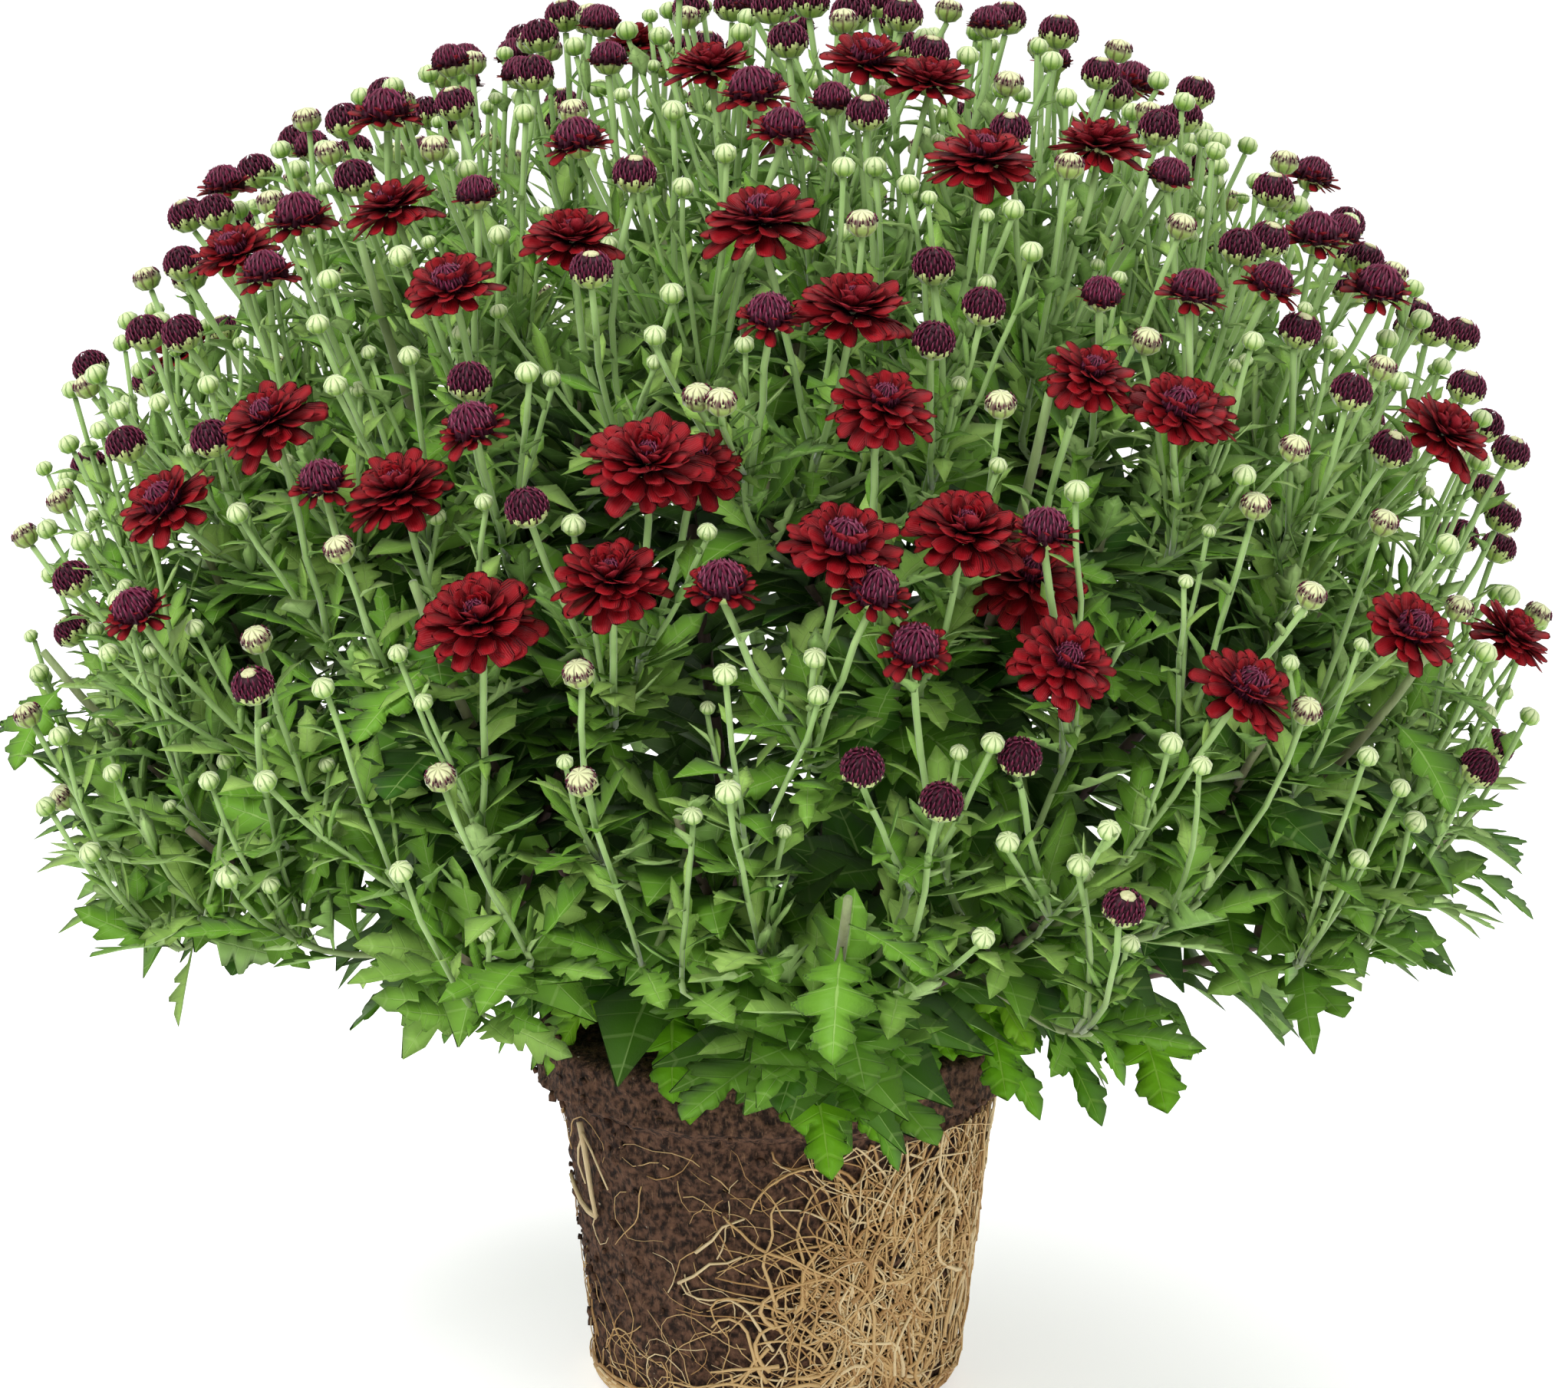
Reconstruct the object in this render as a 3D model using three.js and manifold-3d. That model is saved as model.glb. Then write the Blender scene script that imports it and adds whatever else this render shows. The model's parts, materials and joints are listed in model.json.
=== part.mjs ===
// A garden chrysanthemum lifted out of its nursery pot: a dome of leafy, flowering sprays that stand
// in a bare root ball. Millimetres, +Z up, the origin under the middle of the ball on its flat base.
import * as THREE from 'three';
import { mergeVertices } from 'three/addons/utils/BufferGeometryUtils.js';
import Module from 'manifold-3d';

const wasm = await Module();
wasm.setup();

// Driving dimensions of the root ball, which keeps the shape of the pot: a taper under a wider rim.
const BALL_HEIGHT = 150;
const RIM_RADIUS = 96;
const RIM_BOTTOM = 128;
const BODY_TOP_RADIUS = 86;
const BODY_FOOT_RADIUS = 73;
const FLAT_RADIUS = 60;
const EDGE_HEIGHT = 13;
const BALL_SIDES = 26;
const BALL_RELIEF = 2.2;
const MAT_FOOT = 10;
const MAT_GIRTH = 2.4;
const MAT_CLEAR = 1.1;
const MAT_STRANDS = 13;
const MAT_SIDES = 22;
const MAT_TURN = 20;
const MATTED_ABOVE = -0.15;
const STRAND_STEP = 19;
const STRAND_SWAY = 0.11;
const STRAND_TAPER = 0.35;
const DENSE_STRAND = { top: 92, spread: 18, draw: 6, radius: 1.7 };
const SPARSE_STRAND = { top: 36, spread: 16, draw: 7, radius: 1.1 };

// Driving dimensions of the dome that the flower heads fill.
const DOME_RADIUS = 303;
const DOME_CENTRE = 300;
const DOME_UP = 258;
const DOME_DOWN = 215;
const LOWEST_RISE = -14;
const CROWN_HEIGHT = 163;
const CROWN_INNER = 10;
const CROWN_SPREAD = 31;
const UPWARD_PULL = 0.9;
const FLOWER_PULL = 0.45;

// Counts of what grows.
const SPRAYS = 15;
const FORKS = 45;
const HEADS = 620;
const HEADS_A_FORK = 2;
const HEAD_SPACING = 25;
const SPACING_SHARE = 0.3;
const BUDS_TRIED = 12;
const FORKS_TRIED = 10;
const SEED = 7;

// The point of view that the flowers were measured from: 2044 by 1809 pixels, 3.31 pixels to 1 mm.
const SIGHT_DISTANCE = 1800;
const SIGHT_PITCH = 11.5;
const SIGHT_AIM = new THREE.Vector3(3.6, 0, 281);
const SIGHT_CENTRE_X = 1022;
const SIGHT_CENTRE_Y = 904.5;
const SIGHT_FOCAL = 5958;

// Stems, and shares of their courses. A bow is how far a stem runs on along its head's lean.
const BOUGH_RADIUS = 2.9;
const BOUGH_TIP_RADIUS = 2.3;
const BRANCH_RADIUS = 2;
const STALK_RADIUS = 1.4;
const STALK_TIP_RADIUS = 1.2;
const STALK_ROOT_RADIUS = 0.75;
const STEM_BOW = 0.5;
const BRANCH_BOW = 0.45;
const STALK_BOWS = [0.5, 0.35, 0.65, 0.2, 0.8];
const BRANCH_START = 0.5;
const BRANCH_KNEE = 0.6;
const BRANCH_END = 0.98;
const SIDE_STALK_START = 0.92;
const FORK_SHARE = 0.74;
const FORK_SWAY = 0.03;

// Whorls of leaves: on the branches, and round each bough, where they fill the heart of the bush.
const WHORL_INNER = 3;
const WHORL_OUTER_SHARE = 0.75;
const WHORL_FORWARD_SHARE = 0.6;
const BLADE_LENGTHS = [34, 25, 17, 11];
const LOWER_BLADE_SHARE = 1.2;
const CORE_WIDEST = 64;
const CORE_SHARE = 0.42;
const CORE_FORWARD = 0.36;
const CORE_BLADES = 5;
const CORE_MIDDLE = 0.56;
const CORE_END = 0.91;
const CORE_WHORLS = [
  [0.34, 0.7],
  [0.47, 0.92],
  [0.6, 1],
  [0.73, 1],
  [0.84, 0.72],
];

// Heads: how deep each kind sits on its stalk, as shares of its width, and how its lean varies.
const SEPARATE_BLOOM = 32;
const TWIN_STEP = 3;
const LEAN_SHAKE = 0.12;
const BLOOM_SINK = 0.42;
const BLOOM_NECK = 0.12;
const OPENING_SINK = 0.35;
const SINK_STEP = 6;
const SINK_TRIES = 8;
const BLOOM_PETALS = 7;
const BUD_SIZE = 9;
const BUD_SIZE_RANGE = 6;
const BUD_DEPTH = 4;
const BUD_DEPTH_RANGE = 16;

// Gaps between nodes.
const HOLE_BOTTOM = 124;
const GAP = 0.35;
const WELDS = [0.02, 0.03, 0.015, 0.04, 0.01];
const SAME_POINT = 1e-4;
const LEAST_OVERLAP = 1e-6;

const UP = new THREE.Vector3(0, 0, 1);
const CENTRE = new THREE.Vector3(0, 0, DOME_CENTRE);

// Flowers measured one by one: pixel across, pixel down, real width in mm and how deep in mm the
// flower sits under the dome's surface.
const OPEN_FLOWERS = [
  [337, 521, 38, 0],
  [201, 636, 36, 0],
  [615, 782, 42, 0],
  [795, 728, 38, 0],
  [508, 613, 38, 8],
  [580, 350, 34, 0],
  [501, 242, 34, 0],
  [296, 307, 32, 0],
  [744, 284, 34, 0],
  [991, 252, 42, 0],
  [1114, 370, 40, 0],
  [1158, 501, 36, 0],
  [845, 574, 42, 0],
  [908, 540, 34, 14],
  [1104, 683, 40, 0],
  [1262, 664, 40, 10],
  [1387, 600, 40, 0],
  [1400, 843, 36, 0],
  [1640, 879, 36, 6],
  [1855, 804, 34, 0],
  [1985, 807, 32, 0],
  [1901, 542, 36, 0],
  [1543, 511, 34, 0],
  [1585, 470, 34, 6],
  [1801, 365, 30, 0],
  [1283, 174, 40, 0],
  [1134, 53, 34, 0],
  [1216, 80, 32, 0],
  [925, 61, 32, 0],
  [981, 107, 30, 0],
  [501, 135, 30, 0],
  [1436, 161, 34, 0],
  [1431, 465, 32, 4],
  [388, 271, 30, 0],
  [1717, 296, 30, 0],
];
const OPENING_FLOWERS = [
  [172, 787, 28, 0],
  [613, 545, 28, 0],
  [417, 618, 26, 0],
  [345, 345, 27, 0],
  [751, 172, 28, 0],
  [1002, 380, 26, -14],
  [1384, 672, 27, -16],
  [1194, 836, 28, 0],
  [1150, 755, 28, -16],
  [940, 751, 28, 0],
  [1559, 370, 28, 0],
  [1661, 360, 26, 0],
  [268, 212, 26, -14],
  [1022, 158, 26, 0],
];

// A leaf's half outline, as shares of its length and of its half width, with the lobes cut in.
const LARGE_LEAF = [
  [0.07, 0.09],
  [0.2, 0.13],
  [0.42, 1],
  [0.53, 0.4],
  [0.7, 0.72],
  [0.8, 0.36],
];
const LEAF_THICKNESS = 1.5;
const LEAF_SUNK = 1.2;
const LEAF_FOLD = 0.22;
const HALF_WIDTH_SHARE = 0.33;
const LEAF_RIB = [0.07, 0.38, 0.64];
const LEAF_TURNS = [0, 12, -12, 25, -25, 40, -40, 60, -60];
const LEAF_SHAKE = 8;

// Where large leaves stand on a low spray: share of the bough, turn from it in degrees, length, fall.
const SKIRT = [
  [0.14, 34, 52, 0.6],
  [0.15, -36, 54, 0.6],
  [0.28, 72, 50, 0.5],
  [0.3, -70, 52, 0.5],
  [0.46, 48, 56, 0.42],
  [0.5, -50, 54, 0.42],
  [0.7, 8, 48, 0.4],
];
const SKIRT_BELOW_RISE = 24;

const radians = THREE.MathUtils.degToRad;

// A repeatable draw between 0 and 1 for one item and one purpose.
function draw(item, purpose) {
  const wave = Math.sin(12.9898 * item + 78.233 * purpose + SEED) * 43758.5453;
  return wave - Math.floor(wave);
}

function spread(item, purpose, size) {
  return (draw(item, purpose) - 0.5) * 2 * size;
}

// A closed three.js geometry as a solid that can be joined and cut.
function solid(geometry) {
  geometry.deleteAttribute('normal');
  geometry.deleteAttribute('uv');
  const merged = mergeVertices(geometry, SAME_POINT);
  const vertProperties = new Float32Array(merged.attributes.position.array);
  const triVerts = new Uint32Array(merged.index.array);
  return new wasm.Manifold(new wasm.Mesh({ numProp: 3, vertProperties, triVerts }));
}

function geometryOf(body) {
  const mesh = body.getMesh();
  const geometry = new THREE.BufferGeometry();
  geometry.setAttribute('position', new THREE.BufferAttribute(mesh.vertProperties, 3));
  geometry.setIndex(new THREE.BufferAttribute(mesh.triVerts, 1));
  geometry.computeVertexNormals();
  return geometry;
}

// A body with its shortest edges closed up, which joining leaves where two skins nearly meet.
function weld(body, size) {
  const merged = mergeVertices(geometryOf(body).deleteAttribute('normal'), size);
  const corners = merged.index.array;
  const kept = [];
  for (let i = 0; i < corners.length; i += 3) {
    const [a, b, c] = corners.subarray(i, i + 3);
    if (a !== b && b !== c && c !== a) {
      kept.push(a, b, c);
    }
  }
  merged.setIndex(kept);
  return solid(merged);
}

// Whether each edge of a body joins just two faces.
function isClosed(body) {
  const merged = mergeVertices(geometryOf(body).deleteAttribute('normal'), SAME_POINT);
  const corners = merged.index.array;
  const edges = new Set();
  for (let i = 0; i < corners.length; i += 3) {
    const [a, b, c] = corners.subarray(i, i + 3);
    edges.add(`${a} ${b}`).add(`${b} ${c}`).add(`${c} ${a}`);
  }
  const paired = [...edges].every((edge) => edges.has(edge.split(' ').reverse().join(' ')));
  return paired && edges.size === corners.length;
}

// A geometry from points and corner indices.
function facets(points, corners) {
  const geometry = new THREE.BufferGeometry().setFromPoints(points);
  geometry.setIndex(corners);
  return geometry;
}

// Corners of a skin between two rings, where one ring may have twice the points of the other or
// be a single point.
function bridge(from, to, corners) {
  const a = from.length;
  const b = to.length;
  const most = Math.max(a, b);
  for (let i = 0; i < most; i += 1) {
    const next = (i + 1) % most;
    if (a === 1) {
      corners.push(from[0], to[next], to[i]);
    } else if (b === 1) {
      corners.push(from[i], from[next], to[0]);
    } else if (a === b) {
      corners.push(from[i], from[next], to[next], from[i], to[next], to[i]);
    }
  }
  for (let i = 0; a === 2 * b && b > 1 && i < b; i += 1) {
    const next = (i + 1) % b;
    corners.push(from[2 * i], from[2 * i + 1], to[i]);
    corners.push(from[2 * i + 1], to[next], to[i]);
    corners.push(from[2 * i + 1], from[2 * next], to[next]);
  }
  for (let i = 0; b === 2 * a && a > 1 && i < a; i += 1) {
    const next = (i + 1) % a;
    corners.push(from[i], to[2 * i + 1], to[2 * i]);
    corners.push(from[i], from[next], to[2 * i + 1]);
    corners.push(from[next], to[2 * next], to[2 * i + 1]);
  }
}

// A solid skinned over a row of rings, with flat ends where the first or last is no single point.
function loft(rings) {
  const points = rings.flat();
  const corners = [];
  const rows = [];
  let start = 0;
  for (const ring of rings) {
    const first = start;
    rows.push(ring.map((point, i) => first + i));
    start += ring.length;
  }
  for (let k = 1; k < rows.length; k += 1) {
    bridge(rows[k - 1], rows[k], corners);
  }
  const foot = rows[0];
  const head = rows[rows.length - 1];
  for (let i = 1; i < foot.length - 1; i += 1) {
    corners.push(foot[0], foot[i + 1], foot[i]);
  }
  for (let i = 1; i < head.length - 1; i += 1) {
    corners.push(head[0], head[i], head[i + 1]);
  }
  return solid(facets(points, corners));
}

// A frame across a direction, with its first side kept near a chosen one.
function frameAcross(along, near) {
  const first = near.clone().addScaledVector(along, -near.dot(along)).normalize();
  const second = along.clone().cross(first);
  return [first, second];
}

// Points of a ring round a centre. radiusAt gives the radius of each point from its number.
function ring(centre, along, near, sides, radiusAt, turn = 0) {
  const [first, second] = frameAcross(along, near);
  const points = [];
  for (let i = 0; i < sides; i += 1) {
    const angle = turn + (2 * Math.PI * i) / sides;
    const radius = typeof radiusAt === 'number' ? radiusAt : radiusAt(i);
    const point = centre.clone();
    point.addScaledVector(first, radius * Math.cos(angle));
    point.addScaledVector(second, radius * Math.sin(angle));
    points.push(point);
  }
  return points;
}

// A whorl of blades round a stem: its points lie in turn between two blades, near the stem, and at
// the tip of a blade, farther out and forward.
function whorl(centre, along, near, blades, inner, outer, forward, turn = 0) {
  const radiusAt = (i) => (i % 2 ? outer : inner);
  const points = ring(centre, along, near, 2 * blades, radiusAt, turn);
  return points.map((point, i) => (i % 2 ? point.addScaledVector(along, forward) : point));
}

// Directions spread evenly over the dome in a spiral, as turn about the stem and rise.
function lattice(count, wobble) {
  const lowest = Math.sin(radians(LOWEST_RISE));
  const golden = Math.PI * (3 - Math.sqrt(5));
  const spots = [];
  for (let i = 0; i < count; i += 1) {
    const height = lowest + (1 - lowest) * ((i + 0.5) / count);
    const rise = Math.asin(height) + radians(spread(i, count + 1, wobble));
    const turn = i * golden + radians(spread(i, count + 2, wobble)) / Math.max(0.3, Math.cos(rise));
    spots.push({ turn, rise });
  }
  return spots;
}

// The point of the dome in one direction, sunk by a depth along the radius.
function domePoint(spot, depth = 0) {
  const flat = Math.cos(spot.rise);
  const height = Math.sin(spot.rise);
  const tall = height > 0 ? DOME_UP : DOME_DOWN;
  const share = 1 - depth / DOME_RADIUS;
  const x = DOME_RADIUS * share * flat * Math.cos(spot.turn);
  const y = DOME_RADIUS * share * flat * Math.sin(spot.turn);
  return new THREE.Vector3(x, y, DOME_CENTRE + tall * share * height);
}

// The point of the dome that is seen at one pixel, or the nearest to the line of sight past its edge.
function sightedPoint(across, down, depth) {
  const pitch = radians(SIGHT_PITCH);
  const forward = new THREE.Vector3(0, Math.cos(pitch), -Math.sin(pitch));
  const above = new THREE.Vector3(0, Math.sin(pitch), Math.cos(pitch));
  const eye = SIGHT_AIM.clone().addScaledVector(forward, -SIGHT_DISTANCE);
  const sight = forward.clone();
  sight.x += (across - SIGHT_CENTRE_X) / SIGHT_FOCAL;
  sight.addScaledVector(above, (SIGHT_CENTRE_Y - down) / SIGHT_FOCAL);
  const centred = eye.clone().sub(CENTRE);
  const squash = new THREE.Vector3(1 / DOME_RADIUS, 1 / DOME_RADIUS, 1 / DOME_UP);
  const from = centred.multiply(squash);
  const step = sight.clone().multiply(squash);
  const a = step.dot(step);
  const b = from.dot(step);
  const c = from.dot(from) - 1;
  const root = Math.sqrt(Math.max(0, b * b - a * c));
  const reach = (-b - root) / a + depth;
  const point = eye.clone().addScaledVector(sight, reach);
  const bound = point.clone().sub(CENTRE).multiply(squash).length();
  if (bound > 1) {
    point.sub(CENTRE).divideScalar(bound).add(CENTRE);
  }
  return point;
}

// Where the stem towards a point of the dome leaves the soil.
function crownPoint(point) {
  const turn = Math.atan2(point.y, point.x);
  const out = Math.hypot(point.x, point.y) / DOME_RADIUS;
  const radius = CROWN_INNER + CROWN_SPREAD * out;
  return new THREE.Vector3(radius * Math.cos(turn), radius * Math.sin(turn), CROWN_HEIGHT);
}

// The way a head faces: outwards, and up towards the light, which draws the heavy flowers less.
function leanOf(point, pull = UPWARD_PULL) {
  const away = point.clone().sub(crownPoint(point)).normalize();
  return away.addScaledVector(UP, pull).normalize();
}

function sideOf(point) {
  const turn = Math.atan2(point.y, point.x);
  return new THREE.Vector3(-Math.sin(turn), Math.cos(turn), 0);
}

// The course of a stem from the crown: out nearly level on the low sprays, then up into the dome.
function stemCourse(point) {
  const start = crownPoint(point);
  const bow = STEM_BOW * point.distanceTo(start);
  const bend = point.clone().addScaledVector(leanOf(point), -bow);
  return new THREE.QuadraticBezierCurve3(start, bend, point);
}

// The root ball.
function rootBall(holes) {
  const profile = [
    [0, 0],
    [FLAT_RADIUS, 0],
    [68, 4],
    [BODY_FOOT_RADIUS, EDGE_HEIGHT],
    [78.5, 52],
    [83, 90],
    [BODY_TOP_RADIUS, RIM_BOTTOM - 6],
    [RIM_RADIUS - 1, RIM_BOTTOM],
    [RIM_RADIUS, 142],
    [RIM_RADIUS - 4, BALL_HEIGHT - 1],
    [52, BALL_HEIGHT],
    [0, BALL_HEIGHT],
  ];
  const outline = profile.map(([radius, height]) => new THREE.Vector2(radius, height));
  const lathe = new THREE.LatheGeometry(outline, BALL_SIDES);
  lathe.rotateX(Math.PI / 2);
  const place = lathe.attributes.position;
  for (let i = 0; i < place.count; i += 1) {
    const x = place.getX(i);
    const y = place.getY(i);
    const z = place.getZ(i);
    const radius = Math.hypot(x, y);
    const side = Math.round((Math.atan2(y, x) / (2 * Math.PI)) * BALL_SIDES + BALL_SIDES) % BALL_SIDES;
    const crumbs = z > 1 && radius > FLAT_RADIUS ? BALL_RELIEF * draw(side, Math.round(z)) : 0;
    const share = radius > 0 ? (radius - crumbs) / radius : 1;
    place.setXYZ(i, x * share, y * share, z);
  }
  let ball = solid(lathe);
  if (ball.volume() < 0) {
    throw new Error('the root ball is inside out');
  }
  for (const hole of holes) {
    ball = ball.subtract(hole);
  }
  return ball;
}

// Radius of the root ball's skin at a height, for what lies on it.
function ballRadius(height) {
  const foot = BODY_FOOT_RADIUS;
  const rise = (BODY_TOP_RADIUS - foot) / (RIM_BOTTOM - 6 - EDGE_HEIGHT);
  const round = Math.max(0, EDGE_HEIGHT - height);
  return foot + rise * Math.max(0, height - EDGE_HEIGHT) - (round * round) / EDGE_HEIGHT;
}

// One root that climbs the ball from its bottom edge, swaying from side to side.
function rootStrand(number, turn, top, thick) {
  const steps = Math.max(2, Math.round(top / STRAND_STEP));
  const points = [];
  for (let i = 0; i <= steps; i += 1) {
    const height = MAT_FOOT + ((top - MAT_FOOT) * i) / steps;
    const sway = i === 0 ? 0 : spread(number * 31 + i, 4, STRAND_SWAY);
    const lift = i === 0 ? MAT_CLEAR + MAT_GIRTH : MAT_CLEAR + thick / 2;
    const radius = ballRadius(height) + lift;
    const angle = turn + sway;
    points.push(new THREE.Vector3(radius * Math.cos(angle), radius * Math.sin(angle), height));
  }
  const curve = new THREE.CatmullRomCurve3(points);
  const rings = points.map((point, i) => {
    const along = curve.getTangent(i / steps);
    const out = new THREE.Vector3(point.x, point.y, 0).normalize();
    return ring(point, along, out, 3, thick * (1 - STRAND_TAPER * (i / steps)));
  });
  return loft(rings);
}

// The mat of pale roots: a ring round the bottom edge, dense strands on one side, a few elsewhere.
function rootMat() {
  const middle = ballRadius(MAT_FOOT) + MAT_CLEAR + MAT_GIRTH;
  const section = new THREE.Path();
  section.absarc(middle, MAT_FOOT, MAT_GIRTH, 0, 2 * Math.PI, false);
  const lathe = new THREE.LatheGeometry(section.getPoints(4), MAT_SIDES);
  lathe.rotateX(Math.PI / 2);
  let mat = solid(lathe);
  for (let i = 0; i < MAT_STRANDS; i += 1) {
    const turn = (2 * Math.PI * (i + spread(i, 5, 0.2))) / MAT_STRANDS;
    const matted = Math.cos(turn - radians(MAT_TURN)) > MATTED_ABOVE;
    const kind = matted ? DENSE_STRAND : SPARSE_STRAND;
    const top = kind.top + spread(i, kind.draw, kind.spread);
    mat = mat.add(rootStrand(i, turn, top, kind.radius));
  }
  return mat;
}

// Rings of a head from its neck up.
function headRings({ kind, point, lean, size }, near, swell) {
  const level = (height) => point.clone().addScaledVector(lean, height);
  const radius = size / 2 + swell;
  const rows = {
    bud: [
      [6, 1, 0.85],
      [6, 0.62, 1.5],
    ],
    opening: [
      [6, 0.42, 0.3],
      [12, (i) => radius * (i % 2 ? 0.6 : 1), 0.5],
      [6, 0.46, 0.72],
    ],
    cup: [[6, 0.32, 0.24]],
  }[kind];
  const rings = rows.map(([sides, share, height]) => {
    const radiusAt = typeof share === 'number' ? share * radius : share;
    return ring(level(height * radius), lean, near, sides, radiusAt);
  });
  if (kind !== 'cup') {
    rings.push([level(radius * (kind === 'bud' ? 1.75 : 0.9))]);
  }
  return rings;
}

// The rings of a tapered stem along a curve, at some shares of it.
function stemRings(curve, near, sides, shares, radii) {
  return shares.map((share, i) => {
    return ring(curve.getPoint(share), curve.getTangent(share), near, sides, radii[i]);
  });
}

function stalkCurve(foot, head) {
  const bend = head.point.clone().addScaledVector(head.lean, -head.bow * head.point.distanceTo(foot));
  return new THREE.QuadraticBezierCurve3(foot, bend, head.point);
}

function branchCurve(fork) {
  const start = fork.spray.curve.getPoint(BRANCH_START);
  const bow = BRANCH_BOW * start.distanceTo(fork.tip);
  const bend = fork.tip.clone().addScaledVector(fork.along, -bow);
  return new THREE.QuadraticBezierCurve3(start, bend, fork.tip);
}

// A point on the straight run of a branch that ends at its fork, for what grows from it.
function branchPoint(fork, share) {
  const curve = branchCurve(fork);
  return curve.getPoint(BRANCH_KNEE).lerp(curve.getPoint(BRANCH_END), share);
}

// A small whorl of three narrow leaves on a stem, at a share of its curve.
function leafWhorl(curve, near, share, length) {
  const centre = curve.getPoint(share);
  const along = curve.getTangent(share);
  const outer = WHORL_OUTER_SHARE * length;
  return whorl(centre, along, near, 3, WHORL_INNER, outer, WHORL_FORWARD_SHARE * length);
}

// The branch of a fork from the heart of its spray, on through the fork to its first head.
function mainStem(fork, head, blade, swell = 0) {
  const near = sideOf(head.point);
  const branch = branchCurve(fork);
  const stalk = stalkCurve(fork.tip, head);
  const thick = BRANCH_RADIUS + swell;
  const thin = STALK_RADIUS + swell;
  return loft([
    ...stemRings(branch, near, 3, [0.1, BRANCH_KNEE], [thick, thick]),
    leafWhorl(branch, near, BRANCH_KNEE + 0.06, LOWER_BLADE_SHARE * blade + swell),
    ...stemRings(branch, near, 3, [BRANCH_KNEE + 0.12, BRANCH_END], [thick, thick]),
    leafWhorl(stalk, near, 0.2, blade + swell),
    ...stemRings(stalk, near, 3, [0.28, 1], [thin, STALK_TIP_RADIUS + swell]),
    ...headRings(head, near, swell),
  ]);
}

// A further stalk that leaves the main stem just under its fork.
function sideStalk(fork, head, swell = 0) {
  const near = sideOf(head.point);
  const stalk = stalkCurve(branchPoint(fork, SIDE_STALK_START), head);
  const radii = [STALK_ROOT_RADIUS, STALK_RADIUS + swell, STALK_TIP_RADIUS + swell];
  const rings = stemRings(stalk, near, 3, [0, 0.45, 1], radii);
  return loft([...rings, ...headRings(head, near, swell)]);
}

// An open flower: two tiers of petals round a raised centre.
function bloom(head, swell = 0) {
  const radius = head.size / 2 + swell;
  const near = sideOf(head.point);
  const level = (share) => head.base.clone().addScaledVector(head.lean, share * radius - swell);
  const row = (height, sides, even, odd) => {
    return ring(level(height), head.lean, near, sides, (i) => radius * (i % 2 ? odd : even));
  };
  return loft([
    [level(0)],
    row(0.16, 2 * BLOOM_PETALS, 1, 0.72),
    row(0.28, BLOOM_PETALS, 0.56, 0.56),
    row(0.46, 2 * BLOOM_PETALS, 0.52, 0.8),
    [level(0.56)],
  ]);
}

// A leaf with its rib raised on both faces and its edge cut into lobes. It grows from a point
// inside its stem, bends down towards the tip and folds up along the rib.
function leaf(outline, ribShares, root, heading, normal, length, fall, swell) {
  const side = normal.clone().cross(heading).normalize();
  const above = heading.clone().cross(side);
  const long = length + swell;
  const wide = length * HALF_WIDTH_SHARE + swell;
  const thick = LEAF_THICKNESS / 2 + swell;
  const spot = (x, y, z) => {
    const point = root.clone().addScaledVector(heading, x);
    point.addScaledVector(side, y);
    point.addScaledVector(above, z + LEAF_FOLD * Math.abs(y) - (fall * x * x) / length);
    return point;
  };
  const points = [spot(-LEAF_SUNK, 0, 0), spot(long, 0, 0)];
  const [start, tip] = [0, 1];
  const ribs = [[start], [start]];
  for (const share of ribShares) {
    for (const face of [0, 1]) {
      ribs[face].push(points.length);
      points.push(spot(share * long, 0, face === 0 ? thick : -thick));
    }
  }
  const corners = [];
  for (const hand of [1, -1]) {
    const rim = [start];
    for (const [along, out] of outline) {
      rim.push(points.length);
      points.push(spot(along * long, hand * out * wide, 0));
    }
    rim.push(tip);
    for (const face of [0, 1]) {
      const rib = ribs[face];
      const outwards = (hand === 1) === (face === 0);
      const add = (a, b, c) => (outwards ? corners.push(a, b, c) : corners.push(a, c, b));
      add(rib[0], rib[1], rim[1]);
      let k = 1;
      for (let i = 1; i < rim.length - 1; i += 1) {
        while (k < rib.length - 1 && ribShares[k] < outline[i - 1][0] + 0.12) {
          add(rib[k], rib[k + 1], rim[i]);
          k += 1;
        }
        add(rib[k], rim[i + 1], rim[i]);
      }
    }
  }
  return solid(facets(points, corners));
}

// A spray's bough and the core of whorled leaves round it that fills the heart of the bush, as
// one skin.
function boughWithCore(curve, near, reachAt) {
  const start = curve.getPoint(0);
  const foot = new THREE.Vector3(start.x, start.y, HOLE_BOTTOM + GAP);
  const rim = new THREE.Vector3(start.x, start.y, BALL_HEIGHT + 4);
  const rings = [
    ring(foot, UP, near, 5, BOUGH_RADIUS),
    ring(rim, UP, near, 5, BOUGH_RADIUS),
    ...stemRings(curve, near, 5, [0.12, 0.27], [BOUGH_TIP_RADIUS, BOUGH_TIP_RADIUS]),
  ];
  CORE_WHORLS.forEach(([share, wide], i) => {
    const centre = curve.getPoint(share);
    const along = curve.getTangent(share);
    const outer = wide * reachAt(share);
    const inner = CORE_SHARE * outer;
    const turn = (i * Math.PI) / CORE_BLADES;
    const forward = CORE_FORWARD * outer;
    rings.push(whorl(centre, along, near, CORE_BLADES, inner, outer, forward, turn));
    const above = centre.clone().addScaledVector(along, 0.35 * inner);
    rings.push(ring(above, along, near, CORE_BLADES, inner, turn));
  });
  rings.push([curve.getPoint(CORE_END)]);
  return loft(rings);
}

// Nothing of one node may touch another: the bodies of each node so far, and a test against them.
const grown = [];

function boxesMeet(a, b) {
  return [0, 1, 2].every((k) => a.min[k] < b.max[k] && b.min[k] < a.max[k]);
}

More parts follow.
